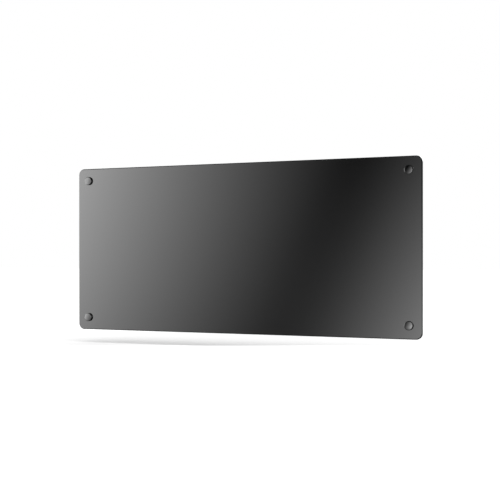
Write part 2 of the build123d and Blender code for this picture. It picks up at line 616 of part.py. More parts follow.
# ---------------------------------------------------------------- sensors on the film
def thermal_cutout(x):
    """A bonded bimetal cut-out with a flat blade at each end."""
    width, thickness, height = CUTOUT_SIZE
    body = block(x, CUTOUT_Z, width, height, REFLECTOR_FRONT + thickness, REFLECTOR_FRONT)
    blade_back = CUTOUT_MIDDLE + CUTOUT_BLADE_THICKNESS / 2
    blades = block(
        x,
        CUTOUT_Z,
        width + 2 * CUTOUT_BLADE_LENGTH,
        CUTOUT_BLADE_WIDTH,
        blade_back,
        blade_back - CUTOUT_BLADE_THICKNESS,
    )
    return body + blades


def temperature_sensor():
    """A small closed metal tube that lies on the film."""
    return Pos(SENSOR_X, SENSOR_Y, SENSOR_Z) * Rot(0, 90, 0) * Cylinder(SENSOR_RADIUS, SENSOR_LENGTH)


def strap(x, z, height, thickness):
    """A band over a sensor that is bonded to the film on both sides of it."""
    outer_height = height + 2 * STRAP_SHEET
    outer_back = REFLECTOR_FRONT + thickness + STRAP_SHEET
    bridge = block(x, z, STRAP_WIDTH, outer_height, outer_back, REFLECTOR_FRONT)
    feet_height = outer_height + 2 * STRAP_FOOT
    feet = block(x, z, STRAP_WIDTH, feet_height, REFLECTOR_FRONT + STRAP_SHEET, REFLECTOR_FRONT)
    return bridge + feet - block(x, z, STRAP_WIDTH, height, REFLECTOR_FRONT + thickness, REFLECTOR_FRONT)


def sensors():
    width, thickness, height = CUTOUT_SIZE
    save("thermal_cutouts", *[thermal_cutout(x) for x in CUTOUT_XS])
    save("temperature_sensor", temperature_sensor())
    straps = [strap(x, CUTOUT_Z, height, thickness) for x in CUTOUT_XS]
    straps.append(strap(SENSOR_X, SENSOR_Z, 2 * SENSOR_RADIUS, 2 * SENSOR_RADIUS))
    save("sensor_straps", *straps)


# ---------------------------------------------------------------- control box
def box_outline(inset):
    """The box's outline in X and Z, drawn in by an inset."""
    radius = BOX_CORNER_RADIUS - inset
    return Pos(0, BOX_MIDDLE) * RectangleRounded(BOX_WIDTH - 2 * inset, BOX_HEIGHT - 2 * inset, radius)


def control_box_base():
    base = plate(box_outline(0), BOX_RIM, TRAY_BACK) - plate(box_outline(BOX_WALL), BOX_RIM, BOX_FLOOR)
    for x, z in BOSSES:
        base += rod(x, z, BOSS_RADIUS, BOX_RIM, BOX_FLOOR)
        base -= rod(x, z, COVER_SCREW_RADIUS, BOX_RIM, BOX_BACK - COVER_SCREW_LENGTH)
    for x, z in BOARD_HOLES:
        base += rod(x, z, BOARD_BOSS_RADIUS, BOARD_BACK - BOARD_THICKNESS, BOX_FLOOR)
        base -= rod(x, z, BOARD_SCREW_RADIUS, BOARD_BACK, BOARD_BACK - BOARD_SCREW_LENGTH)
    for x, z in BOX_SCREWS:
        base -= rod(x, z, BOX_SCREW_RADIUS, BOX_FLOOR, TRAY_BACK)
    base -= rod(GROMMET_X, GROMMET_Z, GROMMET_NECK_RADIUS, BOX_FLOOR, TRAY_BACK)
    base -= rod(EARTH_X, EARTH_Z, EARTH_HOLE_RADIUS, BOX_FLOOR, TRAY_BACK)
    wall_middle = BOX_BOTTOM + BOX_WALL / 2
    switch_hole = Box(HOUSING_LENGTH, HOUSING_WIDTH, BOX_WALL)
    base -= downwards(SWITCH_X, BOX_MID_DEPTH, wall_middle) * switch_hole
    gland_hole = Cylinder(GLAND_THREAD_RADIUS, BOX_WALL)
    base -= downwards(GLAND_X, BOX_MID_DEPTH, wall_middle) * gland_hole
    light_hole = Cylinder(LIGHT_PIPE_RADIUS, BOX_WALL)
    return base - downwards(LIGHT_PIPE_X, LED_Y, wall_middle) * light_hole


def cover_screw(x, z):
    """A countersunk screw, flush with the cover."""
    tip = BOX_BACK - COVER_SCREW_LENGTH
    shank = rod(x, z, COVER_SCREW_RADIUS, BOX_BACK, tip)
    head_middle = BOX_BACK - COVER_SCREW_SINK / 2
    head = Rot(90, 0, 0) * Cone(COVER_SCREW_HEAD_RADIUS, COVER_SCREW_RADIUS, COVER_SCREW_SINK)
    return shank + Pos(x, head_middle, z) * head


def control_box_cover():
    cover = plate(box_outline(0), BOX_BACK, BOX_RIM)
    tongue_back = BOX_RIM
    tongue_front = BOX_RIM - COVER_TONGUE_DEPTH
    clear = BOX_WALL + COVER_TONGUE_CLEARANCE + COVER_TONGUE_THICKNESS / 2
    side_x = BOX_WIDTH / 2 - clear
    boss_room = BOSS_INSET + BOSS_RADIUS + COVER_TONGUE_THICKNESS
    side_height = BOX_HEIGHT - 2 * boss_room
    top_width = BOX_WIDTH - 2 * boss_room
    thickness = COVER_TONGUE_THICKNESS
    for x in (-side_x, side_x):
        cover += block(x, BOX_MIDDLE, thickness, side_height, tongue_back, tongue_front)
    cover += block(0, BOX_TOP - clear, top_width, thickness, tongue_back, tongue_front)
    for x, z in BOSSES:
        cover -= cover_screw(x, z)
    for slot in range(VENT_COUNT):
        slot_x = BOARD_X + (slot - (VENT_COUNT - 1) / 2) * VENT_PITCH
        vent = Pos(slot_x, BOX_MIDDLE) * Rot(0, 0, 90) * SlotOverall(VENT_LENGTH, VENT_WIDTH)
        cover -= plate(vent, BOX_BACK, BOX_RIM)
    return cover


def box_screw(x, z):
    head = rod(x, z, BOX_SCREW_HEAD_RADIUS, BOX_FLOOR + BOX_SCREW_HEAD_HEIGHT, BOX_FLOOR)
    head = fillet(head.faces().sort_by(Axis.Y)[-1].edges(), BOX_SCREW_HEAD_HEIGHT / 2)
    return head + rod(x, z, BOX_SCREW_RADIUS, BOX_FLOOR, TRAY_FLOOR - CLINCH_NUT_HEIGHT)


def lead_grommet():
    neck = rod(GROMMET_X, GROMMET_Z, GROMMET_NECK_RADIUS, BOX_FLOOR, TRAY_FLOOR)
    back_flange_end = BOX_FLOOR + GROMMET_FLANGE_THICKNESS
    front_flange_end = TRAY_FLOOR - GROMMET_FLANGE_THICKNESS
    back_flange = rod(GROMMET_X, GROMMET_Z, GROMMET_FLANGE_RADIUS, back_flange_end, BOX_FLOOR)
    front_flange = rod(GROMMET_X, GROMMET_Z, GROMMET_FLANGE_RADIUS, TRAY_FLOOR, front_flange_end)
    bore = rod(GROMMET_X, GROMMET_Z, GROMMET_BORE, back_flange_end, front_flange_end)
    return neck + back_flange + front_flange - bore


def control_box():
    save("control_box_base", control_box_base())
    save("control_box_cover", control_box_cover())
    save("cover_screws", *[cover_screw(x, z) for x, z in BOSSES])
    save("box_screws", *[box_screw(x, z) for x, z in BOX_SCREWS])
    nut_front = TRAY_FLOOR - CLINCH_NUT_HEIGHT
    nuts = [ring(x, z, CLINCH_NUT_RADIUS, BOX_SCREW_RADIUS, TRAY_FLOOR, nut_front) for x, z in BOX_SCREWS]
    save("clinch_nuts", *nuts)
    save("lead_grommet", lead_grommet())


# ---------------------------------------------------------------- rocker switch and light pipe
SWITCH_PLACE = downwards(SWITCH_X, BOX_MID_DEPTH, BOX_BOTTOM)
PIVOT_PLACE = SWITCH_PLACE * Pos(0, 0, -PIVOT_DEPTH)


def rocker_housing():
    """A bezel outside the box and a body inside it, hollow for the key, drilled for the pivot pin."""
    bezel_outline = RectangleRounded(BEZEL_LENGTH, BEZEL_WIDTH, BEZEL_CORNER_RADIUS)
    bezel = extrude(bezel_outline, BEZEL_THICKNESS)
    bezel = chamfer(bezel.faces().sort_by(Axis.Z)[-1].edges(), BEZEL_CHAMFER)
    body = Pos(0, 0, -HOUSING_DEPTH / 2) * Box(HOUSING_LENGTH, HOUSING_WIDTH, HOUSING_DEPTH)
    opening_length = KEY_LENGTH + 2 * KEY_END_CLEARANCE
    opening_width = KEY_WIDTH + 2 * KEY_SIDE_CLEARANCE
    opening_floor = -PIVOT_DEPTH - KEY_SKIRT - KEY_FLOOR_CLEARANCE
    opening_height = BEZEL_THICKNESS - opening_floor
    opening_middle = (BEZEL_THICKNESS + opening_floor) / 2
    opening = Pos(0, 0, opening_middle) * Box(opening_length, opening_width, opening_height)
    pin_hole = Pos(0, 0, -PIVOT_DEPTH) * Rot(90, 0, 0) * Cylinder(PIVOT_PIN_RADIUS, HOUSING_WIDTH)
    return SWITCH_PLACE * (bezel + body - opening - pin_hole)


def rocker_key():
    """Two flat faces that meet in a shallow valley over the pivot, tilted to the off side."""
    half = KEY_LENGTH / 2
    end_height = KEY_FACE_HEIGHT + half * math.tan(math.radians(KEY_TILT))
    skirt = half - KEY_SKIRT_TAPER
    outline = Polyline(
        (-half, end_height),
        (0, KEY_FACE_HEIGHT),
        (half, end_height),
        (half, 0),
        (skirt, -KEY_SKIRT),
        (-skirt, -KEY_SKIRT),
        (-half, 0),
        close=True,
    )
    body = extrude(Plane.XZ * make_face(outline), KEY_WIDTH / 2, both=True)
    bore = Rot(90, 0, 0) * Cylinder(PIVOT_PIN_RADIUS + PIVOT_RUNNING_CLEARANCE, KEY_WIDTH)
    return PIVOT_PLACE * Rot(0, -KEY_TILT, 0) * (body - bore)


def rocker_switch():
    save("rocker_housing", rocker_housing())
    save("rocker_key", rocker_key())
    pin = PIVOT_PLACE * Rot(90, 0, 0) * Cylinder(PIVOT_PIN_RADIUS, HOUSING_WIDTH)
    save("rocker_pivot_pin", pin)
    blade_middle = -HOUSING_DEPTH - BLADE_LENGTH / 2
    blade = Box(BLADE_THICKNESS, BLADE_WIDTH, BLADE_LENGTH)
    left = SWITCH_PLACE * Pos(-BLADE_SPACING / 2, 0, blade_middle) * blade
    right = SWITCH_PLACE * Pos(BLADE_SPACING / 2, 0, blade_middle) * blade
    save("switch_terminals", left, right)


LED_Y = BOARD_BACK + LED_SIZE / 2
BOARD_BOTTOM = BOX_MIDDLE - BOARD_HEIGHT / 2
LIGHT_PIPE_TOP = BOARD_BOTTOM - LED_GAP


def indicator():
    """A clear pipe carries the light of an LED on the board's lower edge to a lens under the box."""
    length = LIGHT_PIPE_TOP - BOX_BOTTOM
    pipe = Pos(0, 0, -length / 2) * Cylinder(LIGHT_PIPE_RADIUS, length)
    lens = Pos(0, 0, LIGHT_PIPE_LENS_HEIGHT / 2) * Cylinder(LIGHT_PIPE_LENS_RADIUS, LIGHT_PIPE_LENS_HEIGHT)
    lens = fillet(lens.faces().sort_by(Axis.Z)[-1].edges(), LIGHT_PIPE_LENS_HEIGHT / 2)
    save("indicator_light_pipe", downwards(LIGHT_PIPE_X, LED_Y, BOX_BOTTOM) * (pipe + lens))
    led_middle = BOARD_BOTTOM + LED_SIZE / 2
    led = block(LIGHT_PIPE_X, led_middle, LED_SIZE, LED_SIZE, BOARD_BACK + LED_SIZE, BOARD_BACK)
    save("indicator_led", led)


# ---------------------------------------------------------------- cable gland
def gland_hexagon(height, base):
    """A hexagon with flats towards the wall and the room, base to base + height along the gland."""
    return Pos(0, 0, base) * extrude(RegularPolygon(GLAND_ACROSS_FLATS / 2, 6, major_radius=False), height)


def gland_round(radius, bottom, top):
    return Pos(0, 0, (bottom + top) / 2) * Cylinder(radius, top - bottom)


def cable_gland():
    """Heights run down from the underside of the box, along the cable."""
    place = downwards(GLAND_X, BOX_MID_DEPTH, BOX_BOTTOM)
    thread_end = GLAND_HEX_HEIGHT + GLAND_OUTER_THREAD
    seal_end = thread_end
    seal_start = seal_end - SEAL_LENGTH
    body = gland_round(GLAND_THREAD_RADIUS, -GLAND_INNER_THREAD, thread_end)
    body += gland_hexagon(GLAND_HEX_HEIGHT, 0)
    body -= gland_round(GLAND_BORE, -GLAND_INNER_THREAD, thread_end)
    body -= gland_round(SEAL_RADIUS, seal_start, thread_end)
    save("gland_body", place * body)
    lock_nut = gland_hexagon(LOCK_NUT_HEIGHT, -BOX_WALL - LOCK_NUT_HEIGHT)
    lock_nut -= gland_round(GLAND_THREAD_RADIUS, -BOX_WALL - LOCK_NUT_HEIGHT, -BOX_WALL)
    save("gland_lock_nut", place * lock_nut)
    seal = gland_round(SEAL_RADIUS, seal_start, seal_end) - gland_round(SEAL_BORE, seal_start, seal_end)
    save("gland_seal", place * seal)
    skirt_start = GLAND_HEX_HEIGHT + DOME_NUT_GAP
    skirt_end = skirt_start + DOME_NUT_SKIRT
    nose_end = thread_end + DOME_NUT_NOSE
    flat_radius = GLAND_ACROSS_FLATS / 2
    nose = Cone(flat_radius, DOME_NUT_MOUTH + DOME_NUT_NOSE_WALL, nose_end - skirt_end)
    dome = gland_hexagon(DOME_NUT_SKIRT, skirt_start) + Pos(0, 0, (skirt_end + nose_end) / 2) * nose
    dome -= gland_round(GLAND_THREAD_RADIUS, skirt_start, thread_end)
    dome -= gland_round(DOME_NUT_MOUTH, thread_end, nose_end)
    save("gland_dome_nut", place * dome)


# ---------------------------------------------------------------- terminal block and board
BLOCK_WIDTH = BLOCK_POLES * BLOCK_POLE_PITCH
BLOCK_Z = BOX_MIDDLE + BLOCK_ABOVE_MIDDLE
BLOCK_TOP = BLOCK_Z + BLOCK_LENGTH / 2
BLOCK_BACK = BOX_FLOOR + BLOCK_THICKNESS
BLOCK_WIRE_Y = BOX_FLOOR + BLOCK_WIRE_HEIGHT
BLOCK_XS = [GLAND_X + (pole - (BLOCK_POLES - 1) / 2) * BLOCK_POLE_PITCH for pole in range(BLOCK_POLES)]
EARTH_POLE, LIVE_POLE, NEUTRAL_POLE = BLOCK_XS


def terminal_screw_places():
    rows = (-BLOCK_SCREW_SPACING / 2, BLOCK_SCREW_SPACING / 2)
    return [(x, BLOCK_Z + row) for x in BLOCK_XS for row in rows]


def mains_terminal_block():
    body = block(GLAND_X, BLOCK_Z, BLOCK_WIDTH, BLOCK_LENGTH, BLOCK_BACK, BOX_FLOOR)
    for x in BLOCK_XS:
        body -= Pos(x, BLOCK_WIRE_Y, BLOCK_Z) * Cylinder(BLOCK_WIRE_RADIUS, BLOCK_LENGTH)
    well = BLOCK_SCREW_RADIUS + BLOCK_SCREW_WELL
    for x, z in terminal_screw_places():
        body -= rod(x, z, well, BLOCK_BACK, BLOCK_BACK - BLOCK_SCREW_SINK - BLOCK_SCREW_LENGTH)
    return body


def terminal_screw(x, z):
    """A grub screw with a slot, sunk in its well."""
    back = BLOCK_BACK - BLOCK_SCREW_SINK
    screw = rod(x, z, BLOCK_SCREW_RADIUS, back, back - BLOCK_SCREW_LENGTH)
    slot_floor = back - BLOCK_SCREW_SLOT_DEPTH
    return screw - block(x, z, 2 * BLOCK_SCREW_RADIUS, BLOCK_SCREW_SLOT_WIDTH, back, slot_floor)


def on_board(size, at):
    """A block of width, thickness and height that stands on the back of the board."""
    width, thickness, height = size
    return block(BOARD_X + at[0], BOX_MIDDLE + at[1], width, height, BOARD_BACK + thickness, BOARD_BACK)


def board_screw(x, z):
    head = rod(x, z, BOARD_SCREW_HEAD_RADIUS, BOARD_BACK + BOARD_SCREW_HEAD_HEIGHT, BOARD_BACK)
    return head + rod(x, z, BOARD_SCREW_RADIUS, BOARD_BACK, BOARD_BACK - BOARD_SCREW_LENGTH)


def fuse_clip(z):
    """A spring clip with two cheeks that hold one end of the fuse."""
    x = BOARD_X + FUSE_AT[0]
    width = 2 * (FUSE_RADIUS + CLIP_WALL)
    cheek_end = BOARD_BACK + FUSE_HEIGHT + CLIP_CHEEK_HEIGHT
    clip = block(x, z, width, CLIP_LENGTH, cheek_end, BOARD_BACK)
    return clip - block(x, z, 2 * FUSE_RADIUS, CLIP_LENGTH, cheek_end, BOARD_BACK + CLIP_WALL)


def connector(edge_x, z, poles, side):
    """A wire connector flush with the board's left (-1) or right (1) edge."""
    height = poles * CONNECTOR_POLE
    x = edge_x - side * CONNECTOR_DEPTH / 2
    return block(x, z, CONNECTOR_DEPTH, height, BOARD_BACK + CONNECTOR_HEIGHT, BOARD_BACK)


def electronics():
    save("mains_terminal_block", mains_terminal_block())
    save("terminal_screws", *[terminal_screw(x, z) for x, z in terminal_screw_places()])
    board = block(BOARD_X, BOX_MIDDLE, BOARD_WIDTH, BOARD_HEIGHT, BOARD_BACK, BOARD_BACK - BOARD_THICKNESS)
    for x, z in BOARD_HOLES:
        board -= rod(x, z, BOARD_SCREW_RADIUS, BOARD_BACK, BOARD_BACK - BOARD_THICKNESS)
    save("controller_board", board)
    save("board_screws", *[board_screw(x, z) for x, z in BOARD_HOLES])
    save("relay", on_board(RELAY_SIZE, RELAY_AT))
    save("power_supply_module", on_board(SUPPLY_SIZE, SUPPLY_AT))
    save("receiver_module", on_board(RECEIVER_SIZE, RECEIVER_AT))
    capacitor_x = BOARD_X + CAPACITOR_AT[0]
    capacitor_z = BOX_MIDDLE + CAPACITOR_AT[1]
    save(
        "smoothing_capacitor",
        rod(capacitor_x, capacitor_z, CAPACITOR_RADIUS, BOARD_BACK + CAPACITOR_HEIGHT, BOARD_BACK),
    )
    fuse_z = BOX_MIDDLE + FUSE_AT[1]
    fuse_place = Pos(BOARD_X + FUSE_AT[0], BOARD_BACK + FUSE_HEIGHT, fuse_z)
    save("fuse", fuse_place * Cylinder(FUSE_RADIUS, FUSE_LENGTH))
    clip_offset = (FUSE_LENGTH - CLIP_LENGTH) / 2
    save("fuse_clips", fuse_clip(fuse_z - clip_offset), fuse_clip(fuse_z + clip_offset))
    feed = connector(BOARD_LEFT, BOX_MIDDLE + FEED_ABOVE_MIDDLE, 1, -1)
    switched = connector(BOARD_RIGHT, BOX_MIDDLE - SWITCHED_BELOW_MIDDLE, 1, 1)
    outputs = connector(BOARD_RIGHT, GROMMET_Z, 3, 1)
    save("board_connectors", feed, switched, outputs)


# ---------------------------------------------------------------- earth point
PAD_BACK = TRAY_BACK + EARTH_PAD_HEIGHT
RING_BACK = PAD_BACK + RING_SHEET
BARREL_Y = RING_BACK - RING_SHEET + BARREL_RADIUS
BARREL_TOP = EARTH_Z + BARREL_REACH + BARREL_LENGTH


def earth_point():
    """A stud welded to the tray, with a ring terminal under its nut."""
    pad = rod(EARTH_X, EARTH_Z, EARTH_PAD_RADIUS, PAD_BACK, TRAY_BACK)
    stud = rod(EARTH_X, EARTH_Z, EARTH_STUD_RADIUS, TRAY_BACK + EARTH_STUD_LENGTH, TRAY_BACK)
    save("earth_stud", pad + stud)
    terminal = rod(EARTH_X, EARTH_Z, RING_RADIUS, RING_BACK, PAD_BACK)
    barrel_middle = BARREL_TOP - BARREL_LENGTH / 2
    terminal += Pos(EARTH_X, BARREL_Y, barrel_middle) * Cylinder(BARREL_RADIUS, BARREL_LENGTH)
    terminal -= rod(EARTH_X, EARTH_Z, EARTH_STUD_RADIUS, RING_BACK, PAD_BACK)
    terminal -= nut_room()
    save("earth_ring_terminal", terminal)
    nut_back = RING_BACK + EARTH_NUT_THICKNESS
    save("earth_nut", nut(EARTH_X, EARTH_Z, EARTH_NUT_ACROSS_FLATS, EARTH_STUD_RADIUS, nut_back, RING_BACK))


def nut_room():
    """The space that the earth nut turns in, above the ring."""
    turning_radius = EARTH_NUT_ACROSS_FLATS / math.sqrt(3)
    return rod(EARTH_X, EARTH_Z, turning_radius, RING_BACK + EARTH_NUT_THICKNESS, RING_BACK)


# ---------------------------------------------------------------- leads inside the heater
def wiring():
    """Leads from the terminal block to the switch and board, and on through the grommet to the film."""
    turn_z = BLOCK_TOP + LEAD_RISE
    across_y = BOX_RIM - LEAD_BEHIND_RIM
    across_z = BOX_TOP - BOX_WALL - LEAD_BELOW_TOP
    blade_z = BOX_BOTTOM + HOUSING_DEPTH + BLADE_LENGTH
    supply_blade = SWITCH_X + BLADE_SPACING / 2
    load_blade = SWITCH_X - BLADE_SPACING / 2
    live_z = GROMMET_Z + LEAD_PITCH
    neutral_z = GROMMET_Z - LEAD_PITCH
    supply = lead(
        LEAD_RADIUS,
        LEAD_BEND,
        (LIVE_POLE, BLOCK_WIRE_Y, BLOCK_TOP),
        (LIVE_POLE, BLOCK_WIRE_Y, turn_z),
        (LIVE_POLE, across_y, across_z),
        (supply_blade, across_y, across_z),
        (supply_blade, across_y, neutral_z - CROSSING_GAP),
        (supply_blade, BOX_MID_DEPTH, blade_z + BLADE_LEAD_RISE),
        (supply_blade, BOX_MID_DEPTH, blade_z),
    )
    switched_z = BOX_MIDDLE - SWITCHED_BELOW_MIDDLE
    load = lead(
        LEAD_RADIUS,
        LEAD_BEND,
        (load_blade, BOX_MID_DEPTH, blade_z),
        (load_blade, BOARD_WIRE_Y, switched_z),
        (BOARD_RIGHT, BOARD_WIRE_Y, switched_z),
    )
    feed_x = BOARD_LEFT + CONNECTOR_DEPTH / 2
    feed_top = BOX_MIDDLE + FEED_ABOVE_MIDDLE + CONNECTOR_POLE / 2
    neutral_feed = lead(
        LEAD_RADIUS,
        LEAD_BEND,
        (NEUTRAL_POLE, BLOCK_WIRE_Y, BLOCK_TOP),
        (NEUTRAL_POLE, BLOCK_WIRE_Y, turn_z),
        (feed_x, BOARD_WIRE_Y, turn_z),
        (feed_x, BOARD_WIRE_Y, feed_top),
    )
    cutout_reach = CUTOUT_SIZE[0] / 2 + CUTOUT_BLADE_LENGTH
    first_cutout = CUTOUT_XS[1] + cutout_reach
    slope_end = first_cutout + OUTPUT_STRAIGHT
    slope_start = slope_end + OUTPUT_SLOPE
    live_output = lead(
        LEAD_RADIUS,
        LEAD_BEND,
        (BOARD_RIGHT, BOARD_WIRE_Y, live_z),
        (GROMMET_X, BOARD_WIRE_Y, live_z),
        (GROMMET_X, CUTOUT_MIDDLE, live_z),
        (slope_start, CUTOUT_MIDDLE, live_z),
        (slope_end, CUTOUT_MIDDLE, CUTOUT_Z),
        (first_cutout, CUTOUT_MIDDLE, CUTOUT_Z),
    )
    link_length = CUTOUT_XS[1] - CUTOUT_XS[0] - 2 * cutout_reach
    link_x = (CUTOUT_XS[0] + CUTOUT_XS[1]) / 2
    link = Pos(link_x, CUTOUT_MIDDLE, CUTOUT_Z) * Rot(0, 90, 0) * Cylinder(LEAD_RADIUS, link_length)
    tab_x = TAB_SPACING / 2
    element = lead(
        LEAD_RADIUS,
        LEAD_BEND,
        (CUTOUT_XS[0] - cutout_reach, CUTOUT_MIDDLE, CUTOUT_Z),
        (-tab_x, CUTOUT_MIDDLE, CUTOUT_Z),
        (-tab_x, CUTOUT_MIDDLE, BUSBAR_MIDDLE + TAB_THICKNESS / 2),
    )
    neutral_output = lead(
        LEAD_RADIUS,
        LEAD_BEND,
        (BOARD_RIGHT, BOARD_WIRE_Y, neutral_z),
        (GROMMET_X, BOARD_WIRE_Y, neutral_z),
        (GROMMET_X, CUTOUT_MIDDLE, neutral_z),
        (GROMMET_X, CUTOUT_MIDDLE, BUSBAR_MIDDLE),
        (tab_x + TAB_WIDTH / 2, CUTOUT_MIDDLE, BUSBAR_MIDDLE),
    )
    sensor_turn = slope_start + LEAD_PITCH
    sensor = lead(
        SENSOR_LEAD_RADIUS,
        LEAD_BEND,
        (BOARD_RIGHT, BOARD_WIRE_Y, GROMMET_Z),
        (GROMMET_X, BOARD_WIRE_Y, GROMMET_Z),
        (GROMMET_X, SENSOR_Y, GROMMET_Z),
        (sensor_turn, SENSOR_Y, GROMMET_Z),
        (sensor_turn, SENSOR_Y, SENSOR_Z),
        (SENSOR_X + SENSOR_LENGTH / 2, SENSOR_Y, SENSOR_Z),
    )
    earth = lead(
        LEAD_RADIUS,
        LEAD_BEND,
        (EARTH_X, BARREL_Y, BARREL_TOP),
        (EARTH_X, BARREL_Y, BARREL_TOP + EARTH_LEAD_RISE),
        (EARTH_X, BLOCK_WIRE_Y, turn_z),
        (EARTH_POLE, BLOCK_WIRE_Y, turn_z),
        (EARTH_POLE, BLOCK_WIRE_Y, BLOCK_TOP),
    )
    save("live_leads", supply, load, live_output, link, element)
    save("neutral_leads", neutral_feed, neutral_output)
    save("sensor_lead", sensor)
    save("earth_lead", earth)


# ---------------------------------------------------------------- wall bracket
def wall_rail(side):
    """A Z-section upright: web with keyholes, leg back to the wall, and a foot that is screwed to it."""
    web_end = FIXING_X + RAIL_WEB_WIDTH / 2
    section = Polyline(
        (side * web_end, WEB_FRONT),
        (side * LEG_INBOARD, WEB_FRONT),
        (side * LEG_INBOARD, -RAIL_SHEET),
        (side * FOOT_END, -RAIL_SHEET),
        (side * FOOT_END, 0),
        (side * LEG_OUTBOARD, 0),
        (side * LEG_OUTBOARD, WEB_BACK),
        (side * web_end, WEB_BACK),
        close=True,
    )
    rail = Pos(0, 0, RAIL_BOTTOM) * extrude(make_face(section), RAIL_TOP - RAIL_BOTTOM)
    uprights = rail.edges().filter_by(Axis.Z)
    outer_bends = [edge for edge in uprights if near(edge, side * LEG_INBOARD, WEB_FRONT)]
    outer_bends += [edge for edge in uprights if near(edge, side * LEG_OUTBOARD, 0)]
    rail = fillet(outer_bends, RAIL_BEND)
    uprights = rail.edges().filter_by(Axis.Z)
    inner_bends = [edge for edge in uprights if near(edge, side * LEG_OUTBOARD, WEB_BACK)]
    inner_bends += [edge for edge in uprights if near(edge, side * LEG_INBOARD, -RAIL_SHEET)]
    rail = fillet(inner_bends, RAIL_BEND - RAIL_SHEET)
    for z in (-FIXING_Z, FIXING_Z):
        x = side * FIXING_X
        rail -= rod(x, z, SLOT_RADIUS, WEB_BACK, WEB_FRONT)
        rail -= block(x, z + LIFT_TRAVEL / 2, 2 * SLOT_RADIUS, LIFT_TRAVEL, WEB_BACK, WEB_FRONT)
        rail -= rod(x, z + LIFT_TRAVEL, KEYHOLE_RADIUS, WEB_BACK, WEB_FRONT)
    for x, z in WALL_SCREWS:
        rail -= rod(x, z, WALL_SCREW_RADIUS, 0, -RAIL_SHEET)
    for x, z in RIVETS:
        rail -= rivet(x, z)
    return rail


def near(edge, x, y):
    """Says whether an upright edge stands at (x, y)."""
    middle = edge.center()
    return math.hypot(middle.X - x, middle.Y - y) < RAIL_SHEET / 2


def rivet(x, z):
    """Domed in front of the crossbar, and set flush in a countersink at the back of the rail's foot."""
    shank = rod(x, z, RIVET_RADIUS, 0, BAR_FRONT)
    tail = Rot(90, 0, 0) * Cone(RIVET_RADIUS + RIVET_SINK, RIVET_RADIUS, RIVET_SINK)
    head = rod(x, z, RIVET_HEAD_RADIUS, BAR_FRONT, BAR_FRONT - RIVET_HEAD_HEIGHT)
    head = fillet(head.faces().sort_by(Axis.Y)[0].edges(), RIVET_HEAD_HEIGHT / 2)
    return shank + head + Pos(x, -RIVET_SINK / 2, z) * tail


def bracket_crossbar():
    """A shallow channel with its lips to the room, riveted over the feet of the rails."""
    length = 2 * (LEG_INBOARD - BAR_END_GAP)
    lip_front = BAR_BACK - BAR_LIP
    bar = block(0, BAR_Z, length, BAR_HEIGHT, BAR_BACK, lip_front)
    bar -= block(0, BAR_Z, length, BAR_HEIGHT - 2 * BAR_SHEET, BAR_FRONT, lip_front)
    for x, z in RIVETS:
        bar -= rivet(x, z)
    return bar


# ---------------------------------------------------------------- the whole heater
save("glass_panel", glass_panel())
corner_fixings()
save("edge_gasket", edge_gasket())
save("rear_tray", rear_tray())
save("carrier_film", cut_corners(FILM_WIDTH, FILM_HEIGHT, TRACK_FRONT, GLASS_BACK))
save("heating_track", heating_track())
save("busbars", busbar(-1), busbar(1))
save("cover_film", cover_film())
save("reflector_foil", reflector_foil())
save("insulation_mat", insulation_mat())
sensors()
control_box()
rocker_switch()
indicator()
cable_gland()
electronics()
earth_point()
wiring()
save("left_wall_rail", wall_rail(-1))
save("right_wall_rail", wall_rail(1))
save("bracket_crossbar", bracket_crossbar())
save("bracket_rivets", *[rivet(x, z) for x, z in RIVETS])
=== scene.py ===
import math

import bmesh
import bpy
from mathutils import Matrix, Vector


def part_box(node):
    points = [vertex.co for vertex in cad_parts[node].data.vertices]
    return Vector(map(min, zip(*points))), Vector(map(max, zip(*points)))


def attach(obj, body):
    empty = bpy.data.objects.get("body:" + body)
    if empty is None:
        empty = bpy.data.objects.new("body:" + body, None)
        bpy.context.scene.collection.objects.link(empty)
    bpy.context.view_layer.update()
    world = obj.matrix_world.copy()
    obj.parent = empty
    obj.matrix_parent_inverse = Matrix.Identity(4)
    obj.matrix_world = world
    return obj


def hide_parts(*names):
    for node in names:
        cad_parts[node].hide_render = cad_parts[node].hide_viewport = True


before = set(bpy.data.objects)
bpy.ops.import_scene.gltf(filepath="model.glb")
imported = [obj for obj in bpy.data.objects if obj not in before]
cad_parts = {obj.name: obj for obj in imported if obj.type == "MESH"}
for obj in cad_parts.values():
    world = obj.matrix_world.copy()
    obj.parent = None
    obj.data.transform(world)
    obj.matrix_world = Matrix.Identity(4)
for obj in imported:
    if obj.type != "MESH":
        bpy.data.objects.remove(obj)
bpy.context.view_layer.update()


# ---------------------------------------------------------------- glass front
# One sheet of toughened glass with its back printed solid black. Its edges are ground to a narrow
# bevel and polished, and four drilled holes take the corner fixings.
class Signal:
    """One output in a shader. Python's operators on it add the matching Math nodes."""

    def __init__(self, shader, socket):
        self.shader = shader
        self.socket = socket

    def maths(self, operation, *values):
        return self.shader.node("Math", {"operation": operation}, dict(enumerate(values)))

    def __add__(self, other):
        return self.maths("ADD", self, other)

    def __radd__(self, other):
        return self.maths("ADD", other, self)

    def __sub__(self, other):
        return self.maths("SUBTRACT", self, other)

    def __rsub__(self, other):
        return self.maths("SUBTRACT", other, self)

    def __mul__(self, other):
        return self.maths("MULTIPLY", self, other)

    def __rmul__(self, other):
        return self.maths("MULTIPLY", other, self)

    def __gt__(self, other):
        return self.maths("GREATER_THAN", self, other)

    def __lt__(self, other):
        return self.maths("LESS_THAN", self, other)

    def __abs__(self):
        return self.maths("ABSOLUTE", self)

    def higher(self, other):
        """The greater of two values, or one mask together with another."""
        return self.maths("MAXIMUM", self, other)

    def lower(self, other):
        return self.maths("MINIMUM", self, other)

    def between(self, low, high):
        """0 below low, 1 above high, and smooth in between."""
        settings = {"interpolation_type": "SMOOTHSTEP", "clamp": True}
        return self.shader.node("MapRange", settings, {"Value": self, "From Min": low, "From Max": high})


